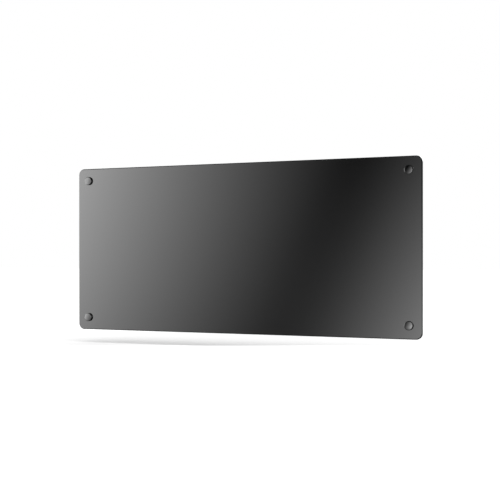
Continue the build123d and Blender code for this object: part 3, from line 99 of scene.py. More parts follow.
class Shader:
    """A node tree that is filled by one method."""

    def __init__(self, owner):
        owner.use_nodes = True
        self.tree = owner.node_tree

    def feed(self, socket, value):
        """Links a signal to a socket, or sets the socket to a constant."""
        if isinstance(value, Signal):
            self.tree.links.new(value.socket, socket)
        elif socket.type == "RGBA" and len(value) == 3:
            socket.default_value = (*value, 1.0)
        else:
            socket.default_value = value

    def node(self, kind, settings, sockets, output=0):
        """Adds a node: first its settings, then the values or links of its sockets."""
        made = self.tree.nodes.new("ShaderNode" + kind)
        for name, value in settings.items():
            setattr(made, name, value)
        for name, value in sockets.items():
            self.feed(made.inputs[name], value)
        return Signal(self, made.outputs[output])

    def place(self):
        """Where a point is on the piece at rest, in metres."""
        return self.node("TexCoord", {}, {}, "Object")

    def facing(self):
        """Which way the surface looks, on the piece at rest."""
        return self.node("TexCoord", {}, {}, "Normal")

    def along(self, axis, of=None):
        return self.node("SeparateXYZ", {}, {0: of or self.place()}, axis)

    def noise(self, scale, detail=2.0, stretch=(1.0, 1.0, 1.0)):
        """Cloudy noise about 0.5, with scale clouds to the metre along an axis whose stretch is 1."""
        at = self.node("Mapping", {}, {"Vector": self.place(), "Scale": stretch})
        return self.node("TexNoise", {}, {"Vector": at, "Scale": scale, "Detail": detail}, "Fac")

    def cells(self, scale, feature="F1"):
        """Distance from the middle of the nearest cell, with about scale cells to the metre."""
        return self.node("TexVoronoi", {"feature": feature}, {"Vector": self.place(), "Scale": scale}, 0)

    def mix(self, amount, first, second):
        """A colour from first, where amount is 0, to second, where it is 1."""
        return self.node("Mix", {"data_type": "RGBA"}, {0: amount, 6: first, 7: second}, 2)


class Finish(Shader):
    """A Principled material. What varies over the surface comes in through paint() and relief()."""

    def __init__(self, name, **constants):
        self.material = bpy.data.materials.new(name)
        super().__init__(self.material)
        self.surface = self.tree.nodes["Principled BSDF"]
        for socket, value in constants.items():
            self.feed(self.surface.inputs[socket.replace("_", " ").title().replace("Ior", "IOR")], value)

    def paint(self, **signals):
        for socket, value in signals.items():
            self.feed(self.surface.inputs[socket.replace("_", " ").title()], value)

    def relief(self, height, depth):
        """Raises the surface by depth metres where height is 1."""
        raised = self.node("Bump", {}, {"Height": height, "Distance": depth}, "Normal")
        self.feed(self.surface.inputs["Normal"], raised)

    def cover(self, *nodes):
        """Gives the finish to nodes of the frame."""
        for name in nodes:
            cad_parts[name].material_slots[0].material = self.material


glass = Finish("black_glass", ior=1.5)
backwards = glass.along("Y", glass.facing())
bevel = 1.0 - abs(backwards).between(0.8, 0.98)
printed = backwards > 0.9
haze = glass.noise(7.0, 3.0)
polished = glass.mix(bevel, (0.0052, 0.0052, 0.0053), (0.004, 0.006, 0.0055))
glass.paint(
    base_color=glass.mix(printed, polished, (0.011, 0.011, 0.0115)),
    roughness=0.012 + 0.012 * haze + 0.08 * bevel + (0.4 + 0.1 * glass.noise(300.0)) * printed,
)
glass.relief(glass.noise(2.6, 1.0), 0.00004)
glass.cover("glass_panel")


# ---------------------------------------------------------------- heating film
# A film heater bonded to the back of the glass: a woven carrier film, one etched strip of resistance
# foil, two copper busbars with solder tabs, and a clear cover film over it all.
def woven_film(name, colour, deep):
    film = Finish(name, coat_weight=0.4, coat_roughness=0.2, ior=1.55)
    threads = {"Vector": film.place(), "Scale": 420.0}
    weft = film.node("TexWave", {"bands_direction": "Z"}, threads, "Fac")
    warp = film.node("TexWave", {"bands_direction": "X"}, threads, "Fac")
    weave = weft.higher(warp)
    cloud = film.noise(9.0, 4.0)
    film.paint(base_color=film.mix(0.25 * weave + 0.6 * cloud, deep, colour), roughness=0.25 + 0.2 * weave)
    film.relief(weave, 0.00003)
    return film


woven_film("carrier_film", (0.50, 0.24, 0.05), (0.33, 0.13, 0.02)).cover("carrier_film")
woven_film("cover_film", (0.56, 0.30, 0.08), (0.40, 0.18, 0.04)).cover("cover_film")


def rolled_metal(name, colour, tarnish, roughness, grain):
    """Rolled strip or sheet: fine lines along X, and a tarnish that comes and goes in patches."""
    metal = Finish(name, metallic=1.0)
    lines = metal.noise(grain, 3.0, (0.02, 1.0, 1.0))
    patches = metal.noise(38.0, 5.0).between(0.42, 0.72)
    metal.paint(
        base_color=metal.mix(0.35 * patches, colour, tarnish),
        roughness=roughness + 0.18 * lines + 0.12 * patches,
    )
    metal.relief(lines, 0.000012)
    return metal


rolled_metal(
    "etched_foil", (0.56, 0.53, 0.47), (0.38, 0.33, 0.26), roughness=0.22, grain=2600.0
).cover("heating_track")
rolled_metal(
    "copper_strip", (0.83, 0.43, 0.27), (0.42, 0.17, 0.08), roughness=0.2, grain=2200.0
).cover("busbars", "fuse_clips")


# ---------------------------------------------------------------- cut-outs and sensor on the film
# Two moulded bimetal cut-outs in line with the live feed, and a probe in a steel tube, each held to
# the cover film by a bonded band of foil.
case = Finish("cutout_case", ior=1.5)
case.paint(
    base_color=case.mix(case.noise(60.0, 3.0), (0.035, 0.034, 0.033), (0.06, 0.058, 0.055)),
    roughness=0.42 + 0.16 * case.noise(900.0),
)
case.relief(case.noise(1800.0, 3.0), 0.00002)
case.cover("thermal_cutouts")


def crumpled_foil(name, roughness, depth):
    """Bright aluminium foil with the shallow creases of handling."""
    foil = Finish(name, metallic=1.0)
    creases = foil.cells(70.0, "DISTANCE_TO_EDGE").between(0.0, 0.12)
    waves = foil.noise(120.0, 4.0)
    foil.paint(
        base_color=foil.mix(waves, (0.76, 0.77, 0.78), (0.87, 0.87, 0.88)),
        roughness=roughness + 0.12 * waves,
    )
    foil.relief(0.4 * creases + waves, depth)
    return foil


crumpled_foil("foil_strap", roughness=0.24, depth=0.00008).cover("sensor_straps")


# ---------------------------------------------------------------- reflector and insulation
# Bright foil over the wiring side of the film, and behind it a needled mineral fibre mat that fills
# the tray, both cut back round the fixings and open where the wiring runs.
crumpled_foil("reflector_foil", roughness=0.16, depth=0.00022).cover("reflector_foil")

mat = Finish("mineral_mat", sheen_weight=0.4, sheen_roughness=0.6, specular_ior_level=0.2)
fibres = mat.noise(900.0, 4.0, (0.12, 1.0, 1.0)) * mat.noise(900.0, 4.0, (1.0, 1.0, 0.12))
needled = mat.cells(160.0).between(0.0, 0.25)
mat.paint(
    base_color=mat.mix(fibres * 2.2, (0.46, 0.42, 0.33), (0.78, 0.75, 0.66)),
    roughness=0.88 + 0.1 * fibres,
)
mat.relief(fibres * 2.0 + 0.5 * needled, 0.0006)
mat.cover("insulation_mat")


# ---------------------------------------------------------------- edge gasket
# A flat strip cut from grey silicone sheet. It lies between the glass and the tray's rim all the way
# round, and is held there by the pull of the corner fixings.
silicone = Finish("grey_silicone", ior=1.41)
silicone.paint(
    base_color=silicone.mix(silicone.noise(26.0, 3.0), (0.16, 0.16, 0.165), (0.24, 0.24, 0.245)),
    roughness=0.55 + 0.2 * silicone.noise(700.0),
)
silicone.relief(silicone.noise(1500.0, 3.0), 0.00003)
silicone.cover("edge_gasket")


# ---------------------------------------------------------------- rear tray
# The shallow back of the heater, pressed from 1 mm sheet steel with a flat rim and stiffening beads. It
# is powder coated in fine black, and hangs on the four corner fixings.
def powder_coat(name, colour, roughness):
    """Sprayed and baked powder: a tight orange peel, with dust settled in it here and there."""
    coat = Finish(name, ior=1.5)
    peel = coat.noise(1500.0, 2.0)
    grains = coat.cells(2400.0).between(0.15, 0.75)
    dust = coat.noise(9.0, 8.0).between(0.45, 0.85)
    light = tuple(1.9 * channel + 0.004 for channel in colour)
    coat.paint(
        base_color=coat.mix(0.55 * grains + 0.35 * dust, colour, light),
        roughness=roughness + 0.16 * peel + 0.1 * dust,
    )
    coat.relief(peel + 0.6 * grains, 0.00006)
    return coat


powder_coat("tray_coat", (0.038, 0.0385, 0.040), roughness=0.36).cover("rear_tray")


# ---------------------------------------------------------------- corner caps
# Four caps turned from black plastic and polished, each with a slightly domed face and a blind
# threaded bore that screws onto the front end of its stud.
def turned(outline, middles, sides):
    """Turns one outline of (radius, y) points about an axis along Y through each (x, z) of middles.
    A radius may be a function of the angle about the axis, as it is in a thread."""
    solid = bmesh.new()
    for x, z in middles:
        rings = []
        for side in range(sides):
            angle = math.tau * side / sides
            ring = []
            for radius, y in outline:
                reach = radius(angle) if callable(radius) else radius
                ring.append(solid.verts.new((x + reach * math.cos(angle), y, z + reach * math.sin(angle))))
            rings.append(ring)
        for side in range(sides):
            here, there = rings[side - 1], rings[side]
            for i in range(len(outline) - 1):
                solid.faces.new((here[i], there[i], there[i + 1], here[i + 1]))
    return solid


def tidy_mesh(name, solid):
    """Welds a bmesh, turns its faces outwards, and shades it smooth except at real edges."""
    bmesh.ops.remove_doubles(solid, verts=solid.verts, dist=0.000002)
    bmesh.ops.dissolve_degenerate(solid, edges=solid.edges, dist=0.000002)
    bmesh.ops.recalc_face_normals(solid, faces=solid.faces)
    mesh = bpy.data.meshes.new(name)
    solid.to_mesh(mesh)
    solid.free()
    mesh.shade_smooth()
    mesh.set_sharp_from_angle(angle=math.radians(32.0))
    return mesh


def fit(name, mesh, finish, instead_of=None, body="heater"):
    """Puts a piece on its body, in its finish, and in place of a plainer one of the frame."""
    mesh.materials.clear()
    mesh.materials.append(finish.material)
    piece = bpy.data.objects.new(name, mesh)
    bpy.context.scene.collection.objects.link(piece)
    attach(piece, body)
    if instead_of:
        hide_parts(instead_of)


def corner_places(node, radius):
    """The four middles, as (x, z), of a node's round pieces of one radius at its box's corners."""
    low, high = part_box(node)
    return [(x, z) for x in (low.x + radius, high.x - radius) for z in (low.z + radius, high.z - radius)]


def rounding(radius, middle_radius, middle_y, first, last, steps=12):
    """Points of an arc in an outline, between two angles in degrees from straight outwards to the front."""
    turns = [math.radians(first + (last - first) * i / steps) for i in range(steps + 1)]
    return [(middle_radius + radius * math.cos(turn), middle_y - radius * math.sin(turn)) for turn in turns]


cap = Finish("gloss_black_cap", ior=1.5)
face = abs(cap.along("Y", cap.facing())).between(0.1, 0.5)
cap.paint(
    base_color=cap.mix(cap.noise(90.0, 2.0), (0.0015, 0.0015, 0.0017), (0.003, 0.003, 0.0032)),
    roughness=0.3 - 0.26 * face + 0.03 * cap.noise(400.0, 2.0),
)
cap.relief(cap.noise(1400.0, 2.0, (0.1, 1.0, 0.1)), 0.000004)

cap_radius = 0.01125
cap_rim = 0.0016
cap_dome = 0.00042
thread_radius = 0.003
bore_depth = 0.0034
caps_low, caps_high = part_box("corner_caps")
cap_back = caps_high.y
cap_front = caps_low.y
dome_edge = cap_radius - cap_rim
dome_radius = (dome_edge**2 + cap_dome**2) / (2.0 * cap_dome)
dome_turn = math.degrees(math.asin(dome_edge / dome_radius))
cap_outline = [
    (0.0, cap_back - bore_depth),
    (thread_radius, cap_back - bore_depth),
    (thread_radius, cap_back),
    (cap_radius, cap_back),
]
cap_outline += rounding(cap_rim, dome_edge, cap_front + cap_dome + cap_rim, 0.0, 90.0)
cap_outline += rounding(dome_radius, 0.0, cap_front + dome_radius, 90.0 - dome_turn, 90.0)
cap_outline[-1] = (0.0, cap_front)
cap_middles = corner_places("corner_caps", cap_radius)
caps = tidy_mesh("polished_caps", turned(cap_outline, cap_middles, sides=128))
fit("polished_caps", caps, cap, "corner_caps")


# ---------------------------------------------------------------- corner fixings behind the caps
# Behind each cap is one bolted stack: a soft washer, a threaded stud through a bush in the glass, a
# washer and a spacer barrel, a nut behind the tray, and a mushroom stud that hangs in the rail.
def moulded_rubber(name, colour, worn):
    rubber = Finish(name, specular_ior_level=0.35)
    bloom = rubber.noise(45.0, 4.0).between(0.4, 0.75)
    rubber.paint(base_color=rubber.mix(bloom, colour, worn), roughness=0.62 + 0.22 * bloom)
    rubber.relief(rubber.noise(2400.0, 2.0), 0.00003)
    return rubber


moulded_rubber("black_rubber", (0.018, 0.018, 0.018), (0.045, 0.045, 0.044)).cover(
    "cap_washers", "rear_washers", "lead_grommet", "gland_seal"
)


def natural_plastic(name, colour, deep):
    """A pale moulded polyamide that lets a little light in."""
    plastic = Finish(name, ior=1.53, subsurface_weight=0.15, subsurface_scale=0.002)
    flow = plastic.noise(55.0, 3.0, (1.0, 1.0, 0.3))
    plastic.paint(base_color=plastic.mix(flow, deep, colour), roughness=0.38 + 0.14 * plastic.noise(600.0))
    plastic.relief(plastic.noise(1500.0, 2.0), 0.00002)
    return plastic


natural_plastic("clear_nylon", (0.74, 0.72, 0.66), (0.60, 0.57, 0.49)).cover("glass_bushes")


zinc = Finish("zinc_plate", metallic=1.0)
tool_marks = zinc.noise(1600.0, 2.0, (1.0, 1.0, 0.08))
bands = zinc.noise(120.0, 3.0)
zinc.paint(
    base_color=zinc.mix(bands.between(0.35, 0.65), (0.60, 0.62, 0.66), (0.68, 0.64, 0.53)),
    roughness=0.24 + 0.16 * tool_marks + 0.1 * bands,
)
zinc.relief(tool_marks, 0.00001)
zinc.cover("spacer_barrels", "stud_nuts", "hanging_studs", "clinch_nuts", "temperature_sensor")
zinc.cover("rocker_pivot_pin", "terminal_screws", "earth_stud", "earth_nut", "bracket_rivets")


def thread(radius, depth, pitch, start, end):
    """Outline points of a screw thread from one y to another: each radius follows the helix."""
    steps = round(6 * abs(end - start) / pitch)
    run = 0.6 * pitch  # plain lead-in at each end

    def crest(y):
        fade = min(1.0, abs(y - start) / run, abs(y - end) / run)
        return lambda angle: radius - fade * depth * abs(2.0 * ((y / pitch + angle / math.tau) % 1.0) - 1.0)

    heights = [start + (end - start) * i / steps for i in range(steps + 1)]
    return [(crest(y), y) for y in heights]


stud_thread_depth = 0.0005
stud_thread_pitch = 0.001
studs_low, studs_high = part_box("fixing_studs")
stud_outline = [(0.0, studs_high.y)]
stud_outline += thread(thread_radius, stud_thread_depth, stud_thread_pitch, studs_high.y, studs_low.y)
stud_outline.append((0.0, studs_low.y))
stud_middles = corner_places("fixing_studs", thread_radius)
studs = tidy_mesh("threaded_studs", turned(stud_outline, stud_middles, sides=36))
fit("threaded_studs", studs, zinc, "fixing_studs")


# ---------------------------------------------------------------- control box
# A shallow box with a lid, both moulded in black flame-retardant plastic with a fine spark texture. It is
# screwed to clinch nuts in the tray, and its lid has a row of vents.
def spark_texture(name, colour, light, roughness, depth):
    """Moulded plastic with the matt pebbling of a spark-eroded tool."""
    plastic = Finish(name, ior=1.52)
    pebbles = plastic.cells(1700.0).between(0.1, 0.7)
    flow = plastic.noise(18.0, 4.0)
    plastic.paint(
        base_color=plastic.mix(0.5 * flow + 0.3 * pebbles, colour, light),
        roughness=roughness + 0.12 * pebbles,
    )
    plastic.relief(pebbles, depth)
    return plastic


spark_texture(
    "box_plastic", (0.014, 0.014, 0.0145), (0.030, 0.030, 0.031), roughness=0.44, depth=0.00004
).cover("control_box_base", "control_box_cover")


# ---------------------------------------------------------------- box and cover screws
# Cross-recessed screws of zinc plated steel: four countersunk ones hold the cover to the corners of the
# box, and four pan heads hold the box to the tray's clinch nuts.
def cross_recess(mesh, middles, top, reach, width, depth):
    """Punches the tapered cross of a screwdriver bit into each head, by a Boolean modifier."""
    above = (top + depth, 1.5 * reach, width)
    point = (top - depth, 0.3 * reach, 0.35 * width)
    bits = []
    for turned_bar in (False, True):
        bar = bmesh.new()
        for x, z in middles:
            corners = []
            for y, half_long, half_wide in (above, point):
                for a, b in ((-1, -1), (1, -1), (1, 1), (-1, 1)):
                    right, up = a * half_long, b * half_wide
                    if turned_bar:
                        right, up = b * half_wide, a * half_long
                    corners.append(bar.verts.new((x + right, y, z + up)))
            bmesh.ops.convex_hull(bar, input=corners)
        bits.append(bpy.data.objects.new("bit", tidy_mesh("bit", bar)))
    blank = bpy.data.objects.new("blank", mesh)
    for made in (blank, *bits):
        bpy.context.scene.collection.objects.link(made)
    for bit in bits:
        punch = blank.modifiers.new("punch", "BOOLEAN")
        punch.operation = "DIFFERENCE"
        punch.solver = "EXACT"
        punch.object = bit
    bpy.context.view_layer.update()
    punched = bpy.data.meshes.new_from_object(blank.evaluated_get(bpy.context.evaluated_depsgraph_get()))
    for made in (blank, *bits):
        bpy.data.objects.remove(made)
    solid = bmesh.new()
    solid.from_mesh(punched)
    return tidy_mesh(mesh.name, solid)


def crosshead_screws(name, node, head_radius, shank_radius, head, pitch):
    """Four screws at the corners of a node's box: head gives the outline from the back to the shank."""
    low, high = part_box(node)
    middles = corner_places(node, head_radius)
    under_head = head[-1][1]
    outline = [(0.0, high.y)] + head
    outline += thread(shank_radius, 0.18 * shank_radius, pitch, under_head - 0.0002, low.y)
    outline.append((0.0, low.y))
    blanks = tidy_mesh(name, turned(outline, middles, sides=48))
    depth = 0.62 * (high.y - under_head)
    mesh = cross_recess(blanks, middles, high.y, 0.62 * head_radius, 0.2 * head_radius, depth)
    fit(name, mesh, zinc, node)


cover_head_radius = 0.0029
cover_shank_radius = 0.0015
cover_head_sink = 0.0015
coarse_pitch = 0.0011
cover_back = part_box("cover_screws")[1].y
countersunk = [(cover_head_radius, cover_back), (cover_shank_radius, cover_back - cover_head_sink)]
crosshead_screws(
    "cover_screws_driven", "cover_screws", cover_head_radius, cover_shank_radius, countersunk, coarse_pitch
)


def pan_head(node, radius, height, shank):
    """The outline of a pan head under the back of a node's box, down to its shank."""
    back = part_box(node)[1].y
    edge = height / 2
    crown = rounding(edge, radius - edge, back - edge, -90.0, 0.0, steps=8)
    return crown + [(radius, back - height), (shank, back - height)]


box_head_radius = 0.0028
box_head_height = 0.002
box_shank_radius = 0.0015
fine_pitch = 0.0005
box_head = pan_head("box_screws", box_head_radius, box_head_height, box_shank_radius)
crosshead_screws(
    "box_screws_driven", "box_screws", box_head_radius, box_shank_radius, box_head, fine_pitch
)


# ---------------------------------------------------------------- controller board and what it carries
# A single-sided board on four bosses in the box, with a relay, a potted supply, a capacitor, a fuse in
# clips, a screened radio receiver and plug-in wire connectors.
board = Finish("green_board", ior=1.5, coat_weight=0.5, coat_roughness=0.15)
blocks = board.node(
    "TexVoronoi", {"distance": "CHEBYCHEV"}, {"Vector": board.place(), "Scale": 150.0}, "Color"
)
lot = board.along("X", blocks)  # from 0 to 1, and one value for each block of the layout


def tracks(axis):
    """Even copper tracks under the mask, side by side along one axis."""
    across = 760.0 * board.along(axis)
    return abs(across.maths("FRACT", across) - 0.5).between(0.2, 0.28)


upright = (lot < 0.38) * tracks("X")
level = (lot > 0.38) * (lot < 0.72) * tracks("Z")
poured = lot > 0.72
routed = upright + level + poured
resin = board.noise(80.0, 3.0)
mask = board.mix(resin, (0.008, 0.085, 0.03), (0.012, 0.12, 0.042))
board.paint(base_color=board.mix(0.8 * routed, mask, (0.03, 0.24, 0.085)), roughness=0.3 + 0.1 * resin)
board.relief(routed, 0.00005)
board.cover("controller_board")

board_head_radius = 0.0022
board_head_height = 0.0015
board_shank_radius = 0.0012
board_head = pan_head("board_screws", board_head_radius, board_head_height, board_shank_radius)
crosshead_screws(
    "board_screws_driven", "board_screws", board_head_radius, board_shank_radius, board_head, fine_pitch
)

spark_texture(
    "relay_case", (0.010, 0.035, 0.13), (0.016, 0.055, 0.19), roughness=0.28, depth=0.00001
).cover("relay")
spark_texture(
    "dark_module", (0.025, 0.025, 0.026), (0.05, 0.05, 0.052), roughness=0.42, depth=0.00003
).cover("power_supply_module")
rolled_metal(
    "tinned_shield", (0.72, 0.72, 0.71), (0.50, 0.50, 0.48), roughness=0.24, grain=1500.0
).cover("receiver_module")
spark_texture(
    "green_connector", (0.02, 0.20, 0.07), (0.03, 0.28, 0.10), roughness=0.38, depth=0.00002
).cover("board_connectors")

sleeve = Finish("capacitor_sleeve", ior=1.5)
bare_end = abs(sleeve.along("Y", sleeve.facing())) > 0.9
sleeve.paint(
    base_color=sleeve.mix(bare_end, (0.02, 0.03, 0.09), (0.75, 0.75, 0.76)),
    metallic=bare_end,
    roughness=0.26 + 0.1 * sleeve.noise(300.0),
)
sleeve.relief(sleeve.noise(900.0, 2.0), 0.00001)
sleeve.cover("smoothing_capacitor")

fuse_low, fuse_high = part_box("fuse")
fuse_cap_length = 0.0052
fuse = Finish("ceramic_fuse", ior=1.6)
height = fuse.along("Z")
lower_cap = height < fuse_low.z + fuse_cap_length
upper_cap = height > fuse_high.z - fuse_cap_length
capped = lower_cap.higher(upper_cap)
fuse.paint(
    base_color=fuse.mix(capped, (0.78, 0.76, 0.71), (0.76, 0.75, 0.72)),
    metallic=capped,
    roughness=0.5 - 0.25 * capped + 0.08 * fuse.noise(500.0),
)
fuse.relief(fuse.noise(1300.0, 2.0), 0.00002)
fuse.cover("fuse")


# ---------------------------------------------------------------- small parts on the board
# Surface-mounted parts on the back of the board: a row of resistors, ceramic capacitors beside the
# controller chip, and the chip itself on its tinned legs. Through-hole pins are soldered at the front.
def small_block(solid, low, high, bevel):
    """A moulded block with softened edges between two corners."""
    corners = []
    for x in (low[0], high[0]):
        for y in (low[1], high[1]):
            for z in (low[2], high[2]):
                corners.append(solid.verts.new((x, y, z)))
    sides = ((0, 1, 3, 2), (4, 6, 7, 5), (0, 4, 5, 1), (2, 3, 7, 6), (0, 2, 6, 4), (1, 5, 7, 3))
    faces = [solid.faces.new([corners[i] for i in side]) for side in sides]
    edges = {edge for face in faces for edge in face.edges}
    bmesh.ops.bevel(solid, geom=list(edges), offset=bevel, segments=2, affect="EDGES", profile=0.5)


board_low, board_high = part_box("controller_board")
board_front = board_low.y
board_back = board_high.y
part_length = 0.002
part_width = 0.00125
end_length = 0.2 * part_length
end_wrap = 0.00003
part_bevel = 0.00006


def chip_part(bodies, ends, x, z, height):
    """A ceramic chip that lies along X on the board, with a tinned cap round each end."""
    left, right = x - part_length / 2, x + part_length / 2
    for solid, x_low, x_high, grown in (
        (bodies, left + 0.5 * end_length, right - 0.5 * end_length, 0.0),
        (ends, left, left + end_length, end_wrap),
        (ends, right - end_length, right, end_wrap),
    ):
        low = (x_low, board_back, z - part_width / 2 - grown)
        high = (x_high, board_back + height + grown, z + part_width / 2 + grown)
        small_block(solid, low, high, part_bevel)


resistor_height = 0.0005
resistor_pitch = 0.004
resistor_count = 8
first_resistor = -0.016
resistor_row = board_high.z - 0.005
resistors = bmesh.new()
tinned = bmesh.new()
for place in range(resistor_count):
    chip_part(resistors, tinned, first_resistor + resistor_pitch * place, resistor_row, resistor_height)

chip_x = (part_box("smoothing_capacitor")[0].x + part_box("relay")[1].x) / 2
chip_z = -0.1575
ceramic_height = 0.0008
ceramic_pitch = 0.0028
ceramics_right = chip_x + 0.0082
ceramics_left = chip_x - 0.0074
ceramics = bmesh.new()
for place in (-1, 0, 1):
    chip_part(ceramics, tinned, ceramics_right, chip_z + ceramic_pitch * place, ceramic_height)
    chip_part(ceramics, tinned, ceramics_left, chip_z + ceramic_pitch * place, ceramic_height)

chip_half = 0.0029
chip_height = 0.0011
chip_lift = 0.0001
chip_bevel = 0.00018
leg_count = 6
leg_pitch = 0.0008
leg_reach = 0.0011
leg_root = 0.0001
leg_half = 0.00016
leg_height = 0.00028
leg_bevel = 0.00005
chip_body = bmesh.new()
small_block(
    chip_body,
    (chip_x - chip_half, board_back + chip_lift, chip_z - chip_half),
    (chip_x + chip_half, board_back + chip_height, chip_z + chip_half),
    chip_bevel,
)
leg_back = board_back + leg_height
for side in (-1, 1):
    inner, outer = sorted((side * (chip_half - leg_root), side * (chip_half + leg_reach)))
    for leg in range(leg_count):
        middle = (leg - (leg_count - 1) / 2) * leg_pitch
        small_block(
            tinned,
            (chip_x + middle - leg_half, board_back, chip_z + inner),
            (chip_x + middle + leg_half, leg_back, chip_z + outer),
            leg_bevel,
        )
        small_block(
            tinned,
            (chip_x + inner, board_back, chip_z + middle - leg_half),
            (chip_x + outer, leg_back, chip_z + middle + leg_half),
            leg_bevel,
        )

solder = Finish("solder", metallic=1.0)
flux = solder.noise(500.0, 3.0)
solder.paint(
    base_color=solder.mix(flux, (0.62, 0.63, 0.65), (0.74, 0.74, 0.75)),
    roughness=0.2 + 0.2 * flux,
)
solder.relief(flux, 0.00002)
ceramic = Finish("ceramic_chip", ior=1.55)
ceramic.paint(
    base_color=ceramic.mix(ceramic.noise(900.0), (0.40, 0.27, 0.16), (0.50, 0.36, 0.22)),
    roughness=0.34 + 0.1 * ceramic.noise(2000.0),
)
epoxy = spark_texture(
    "chip_epoxy", (0.016, 0.016, 0.017), (0.03, 0.03, 0.032), roughness=0.42, depth=0.00001
)
fit("resistors", tidy_mesh("resistors", resistors), epoxy)
fit("controller_chip", tidy_mesh("controller_chip", chip_body), epoxy)
fit("ceramic_capacitors", tidy_mesh("ceramic_capacitors", ceramics), ceramic)
fit("tinned_ends_and_legs", tidy_mesh("tinned_ends_and_legs", tinned), solder)

joint_radius = 0.0009
joint_height = 0.0008
joint_steps = 8
pin_radius = 0.0002
joint_outline = [(0.0, board_front)]
for step in range(joint_steps):
    reach = joint_radius * (1.0 - step / joint_steps) ** 1.8 + pin_radius
    joint_outline.append((reach, board_front - joint_height * step / joint_steps))
joint_outline.append((0.0, board_front - joint_height))
pins = []
for node, inset in (("relay", 0.0025), ("power_supply_module", 0.0025), ("fuse_clips", 0.0024)):
    pins += corner_places(node, inset)
capacitor_corners = corner_places("smoothing_capacitor", 0.0022)
pins += [capacitor_corners[0], capacitor_corners[3]]
joints = tidy_mesh("solder_joints", turned(joint_outline, pins, sides=24))
fit("solder_joints", joints, solder)


# ---------------------------------------------------------------- mains terminal block
# A three-pole block moulded in white polyamide, for the mains cord. Each pole is clamped by two slotted
# grub screws in open wells.
block = natural_plastic("white_block", (0.80, 0.79, 0.75), (0.72, 0.70, 0.65))
block.cover("mains_terminal_block")


# ---------------------------------------------------------------- rocker switch
# A snap-in switch in the underside of the box: a gloss bezel and body, a gloss key on a steel pin, and
# two brass blades inside the box.
gloss = Finish("switch_black", ior=1.5)
gloss.paint(
    base_color=gloss.mix(gloss.noise(70.0, 3.0), (0.014, 0.014, 0.015), (0.026, 0.026, 0.027)),
    roughness=0.18 + 0.1 * gloss.noise(500.0, 3.0),
)
gloss.relief(gloss.noise(1200.0, 2.0), 0.00001)
gloss.cover("rocker_housing", "rocker_key")
rolled_metal(
    "brass_blade", (0.80, 0.62, 0.33), (0.48, 0.32, 0.14), roughness=0.24, grain=2000.0
).cover("switch_terminals", "earth_ring_terminal")

# A bar for on and a ring for off are printed in white on the two outer faces of the key.
ink_sink = -0.00002
ink_top = 0.00003
stroke = 0.0005
bar_half_length = 0.0015
ring_radius = 0.0015
smallest_key_face = 0.00002  # square metres
ring_inside = ring_radius - stroke
ring_outline = [
    (ring_inside, ink_sink),
    (ring_radius, ink_sink),
    (ring_radius, ink_top),
    (ring_inside, ink_top),
    (ring_inside, ink_sink),
]
ring = turned(ring_outline, [(0.0, 0.0)], sides=48)
bar = bmesh.new()
small_block(
    bar,
    (-bar_half_length, ink_sink, -stroke / 2),
    (bar_half_length, ink_top, stroke / 2),
    bevel=0.00001,
)
ink = Finish("white_ink", ior=1.5)
ink.paint(
    base_color=ink.mix(ink.noise(2500.0, 3.0), (0.66, 0.66, 0.64), (0.80, 0.80, 0.78)),
    roughness=0.45 + 0.15 * ink.noise(4000.0, 2.0),
)
ink.relief(ink.noise(6000.0, 2.0), 0.000004)
key_faces = [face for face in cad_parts["rocker_key"].data.polygons if face.area > smallest_key_face]
outer_faces = [face for face in key_faces if face.normal.z < -0.9]
raised = [face for face in outer_faces if face.normal.x < -0.1]
flush = [face for face in outer_faces if face.normal.x > -0.1]
upwards = Vector((0.0, 1.0, 0.0))
for name, mark, faces in (("on_mark", bar, raised), ("off_mark", ring, flush)):
    normal = faces[0].normal
    middle = sum((face.center for face in faces), Vector()) / len(faces)
    along = normal.cross(upwards)
    for vert in mark.verts:
        vert.co = middle + vert.co.x * along + vert.co.y * normal + vert.co.z * upwards
    fit(name, tidy_mesh(name, mark), ink, body="rocker")


# Each lead is crimped in a receptacle that is pushed on its blade under a clear sleeve.
def squared_oval(angle, half_thick, half_wide):
    """A point of an oval that is nearly a rounded rectangle."""
    across, wide = (math.copysign(abs(part) ** 0.6, part) for part in (math.cos(angle), math.sin(angle)))
    return across * half_thick, wide * half_wide


blades_low, blades_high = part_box("switch_terminals")
blade_thickness = 0.0008
sleeve_sides = 40
sleeve_levels = [  # height above the blade's root, half thickness, half width
    (0.0006, 0.0017, 0.0030),
    (0.0009, 0.0019, 0.0032),
    (0.0070, 0.0019, 0.0032),
    (0.0088, 0.0018, 0.0026),
    (0.0100, 0.0017, 0.0018),
    (0.0118, 0.0016, 0.0016),
    (0.0120, 0.0014, 0.0014),
]
receptacles = bmesh.new()
for x in (blades_low.x + blade_thickness / 2, blades_high.x - blade_thickness / 2):
    middle_y = (blades_low.y + blades_high.y) / 2
    rings = []
    for level, half_thick, half_wide in sleeve_levels:
        ring = []
        for step in range(sleeve_sides):
            across, wide = squared_oval(math.tau * step / sleeve_sides, half_thick, half_wide)
            ring.append(receptacles.verts.new((x + across, middle_y + wide, blades_low.z + level)))
        rings.append(ring)
    for lower, upper in zip(rings, rings[1:]):
        for i in range(sleeve_sides):
            receptacles.faces.new((lower[i - 1], lower[i], upper[i], upper[i - 1]))
    receptacles.faces.new(rings[0])
    receptacles.faces.new(rings[-1])
clear_sleeve = natural_plastic("receptacle_sleeve", (0.70, 0.70, 0.68), (0.58, 0.57, 0.54))
fit("receptacle_sleeves", tidy_mesh("receptacle_sleeves", receptacles), clear_sleeve)


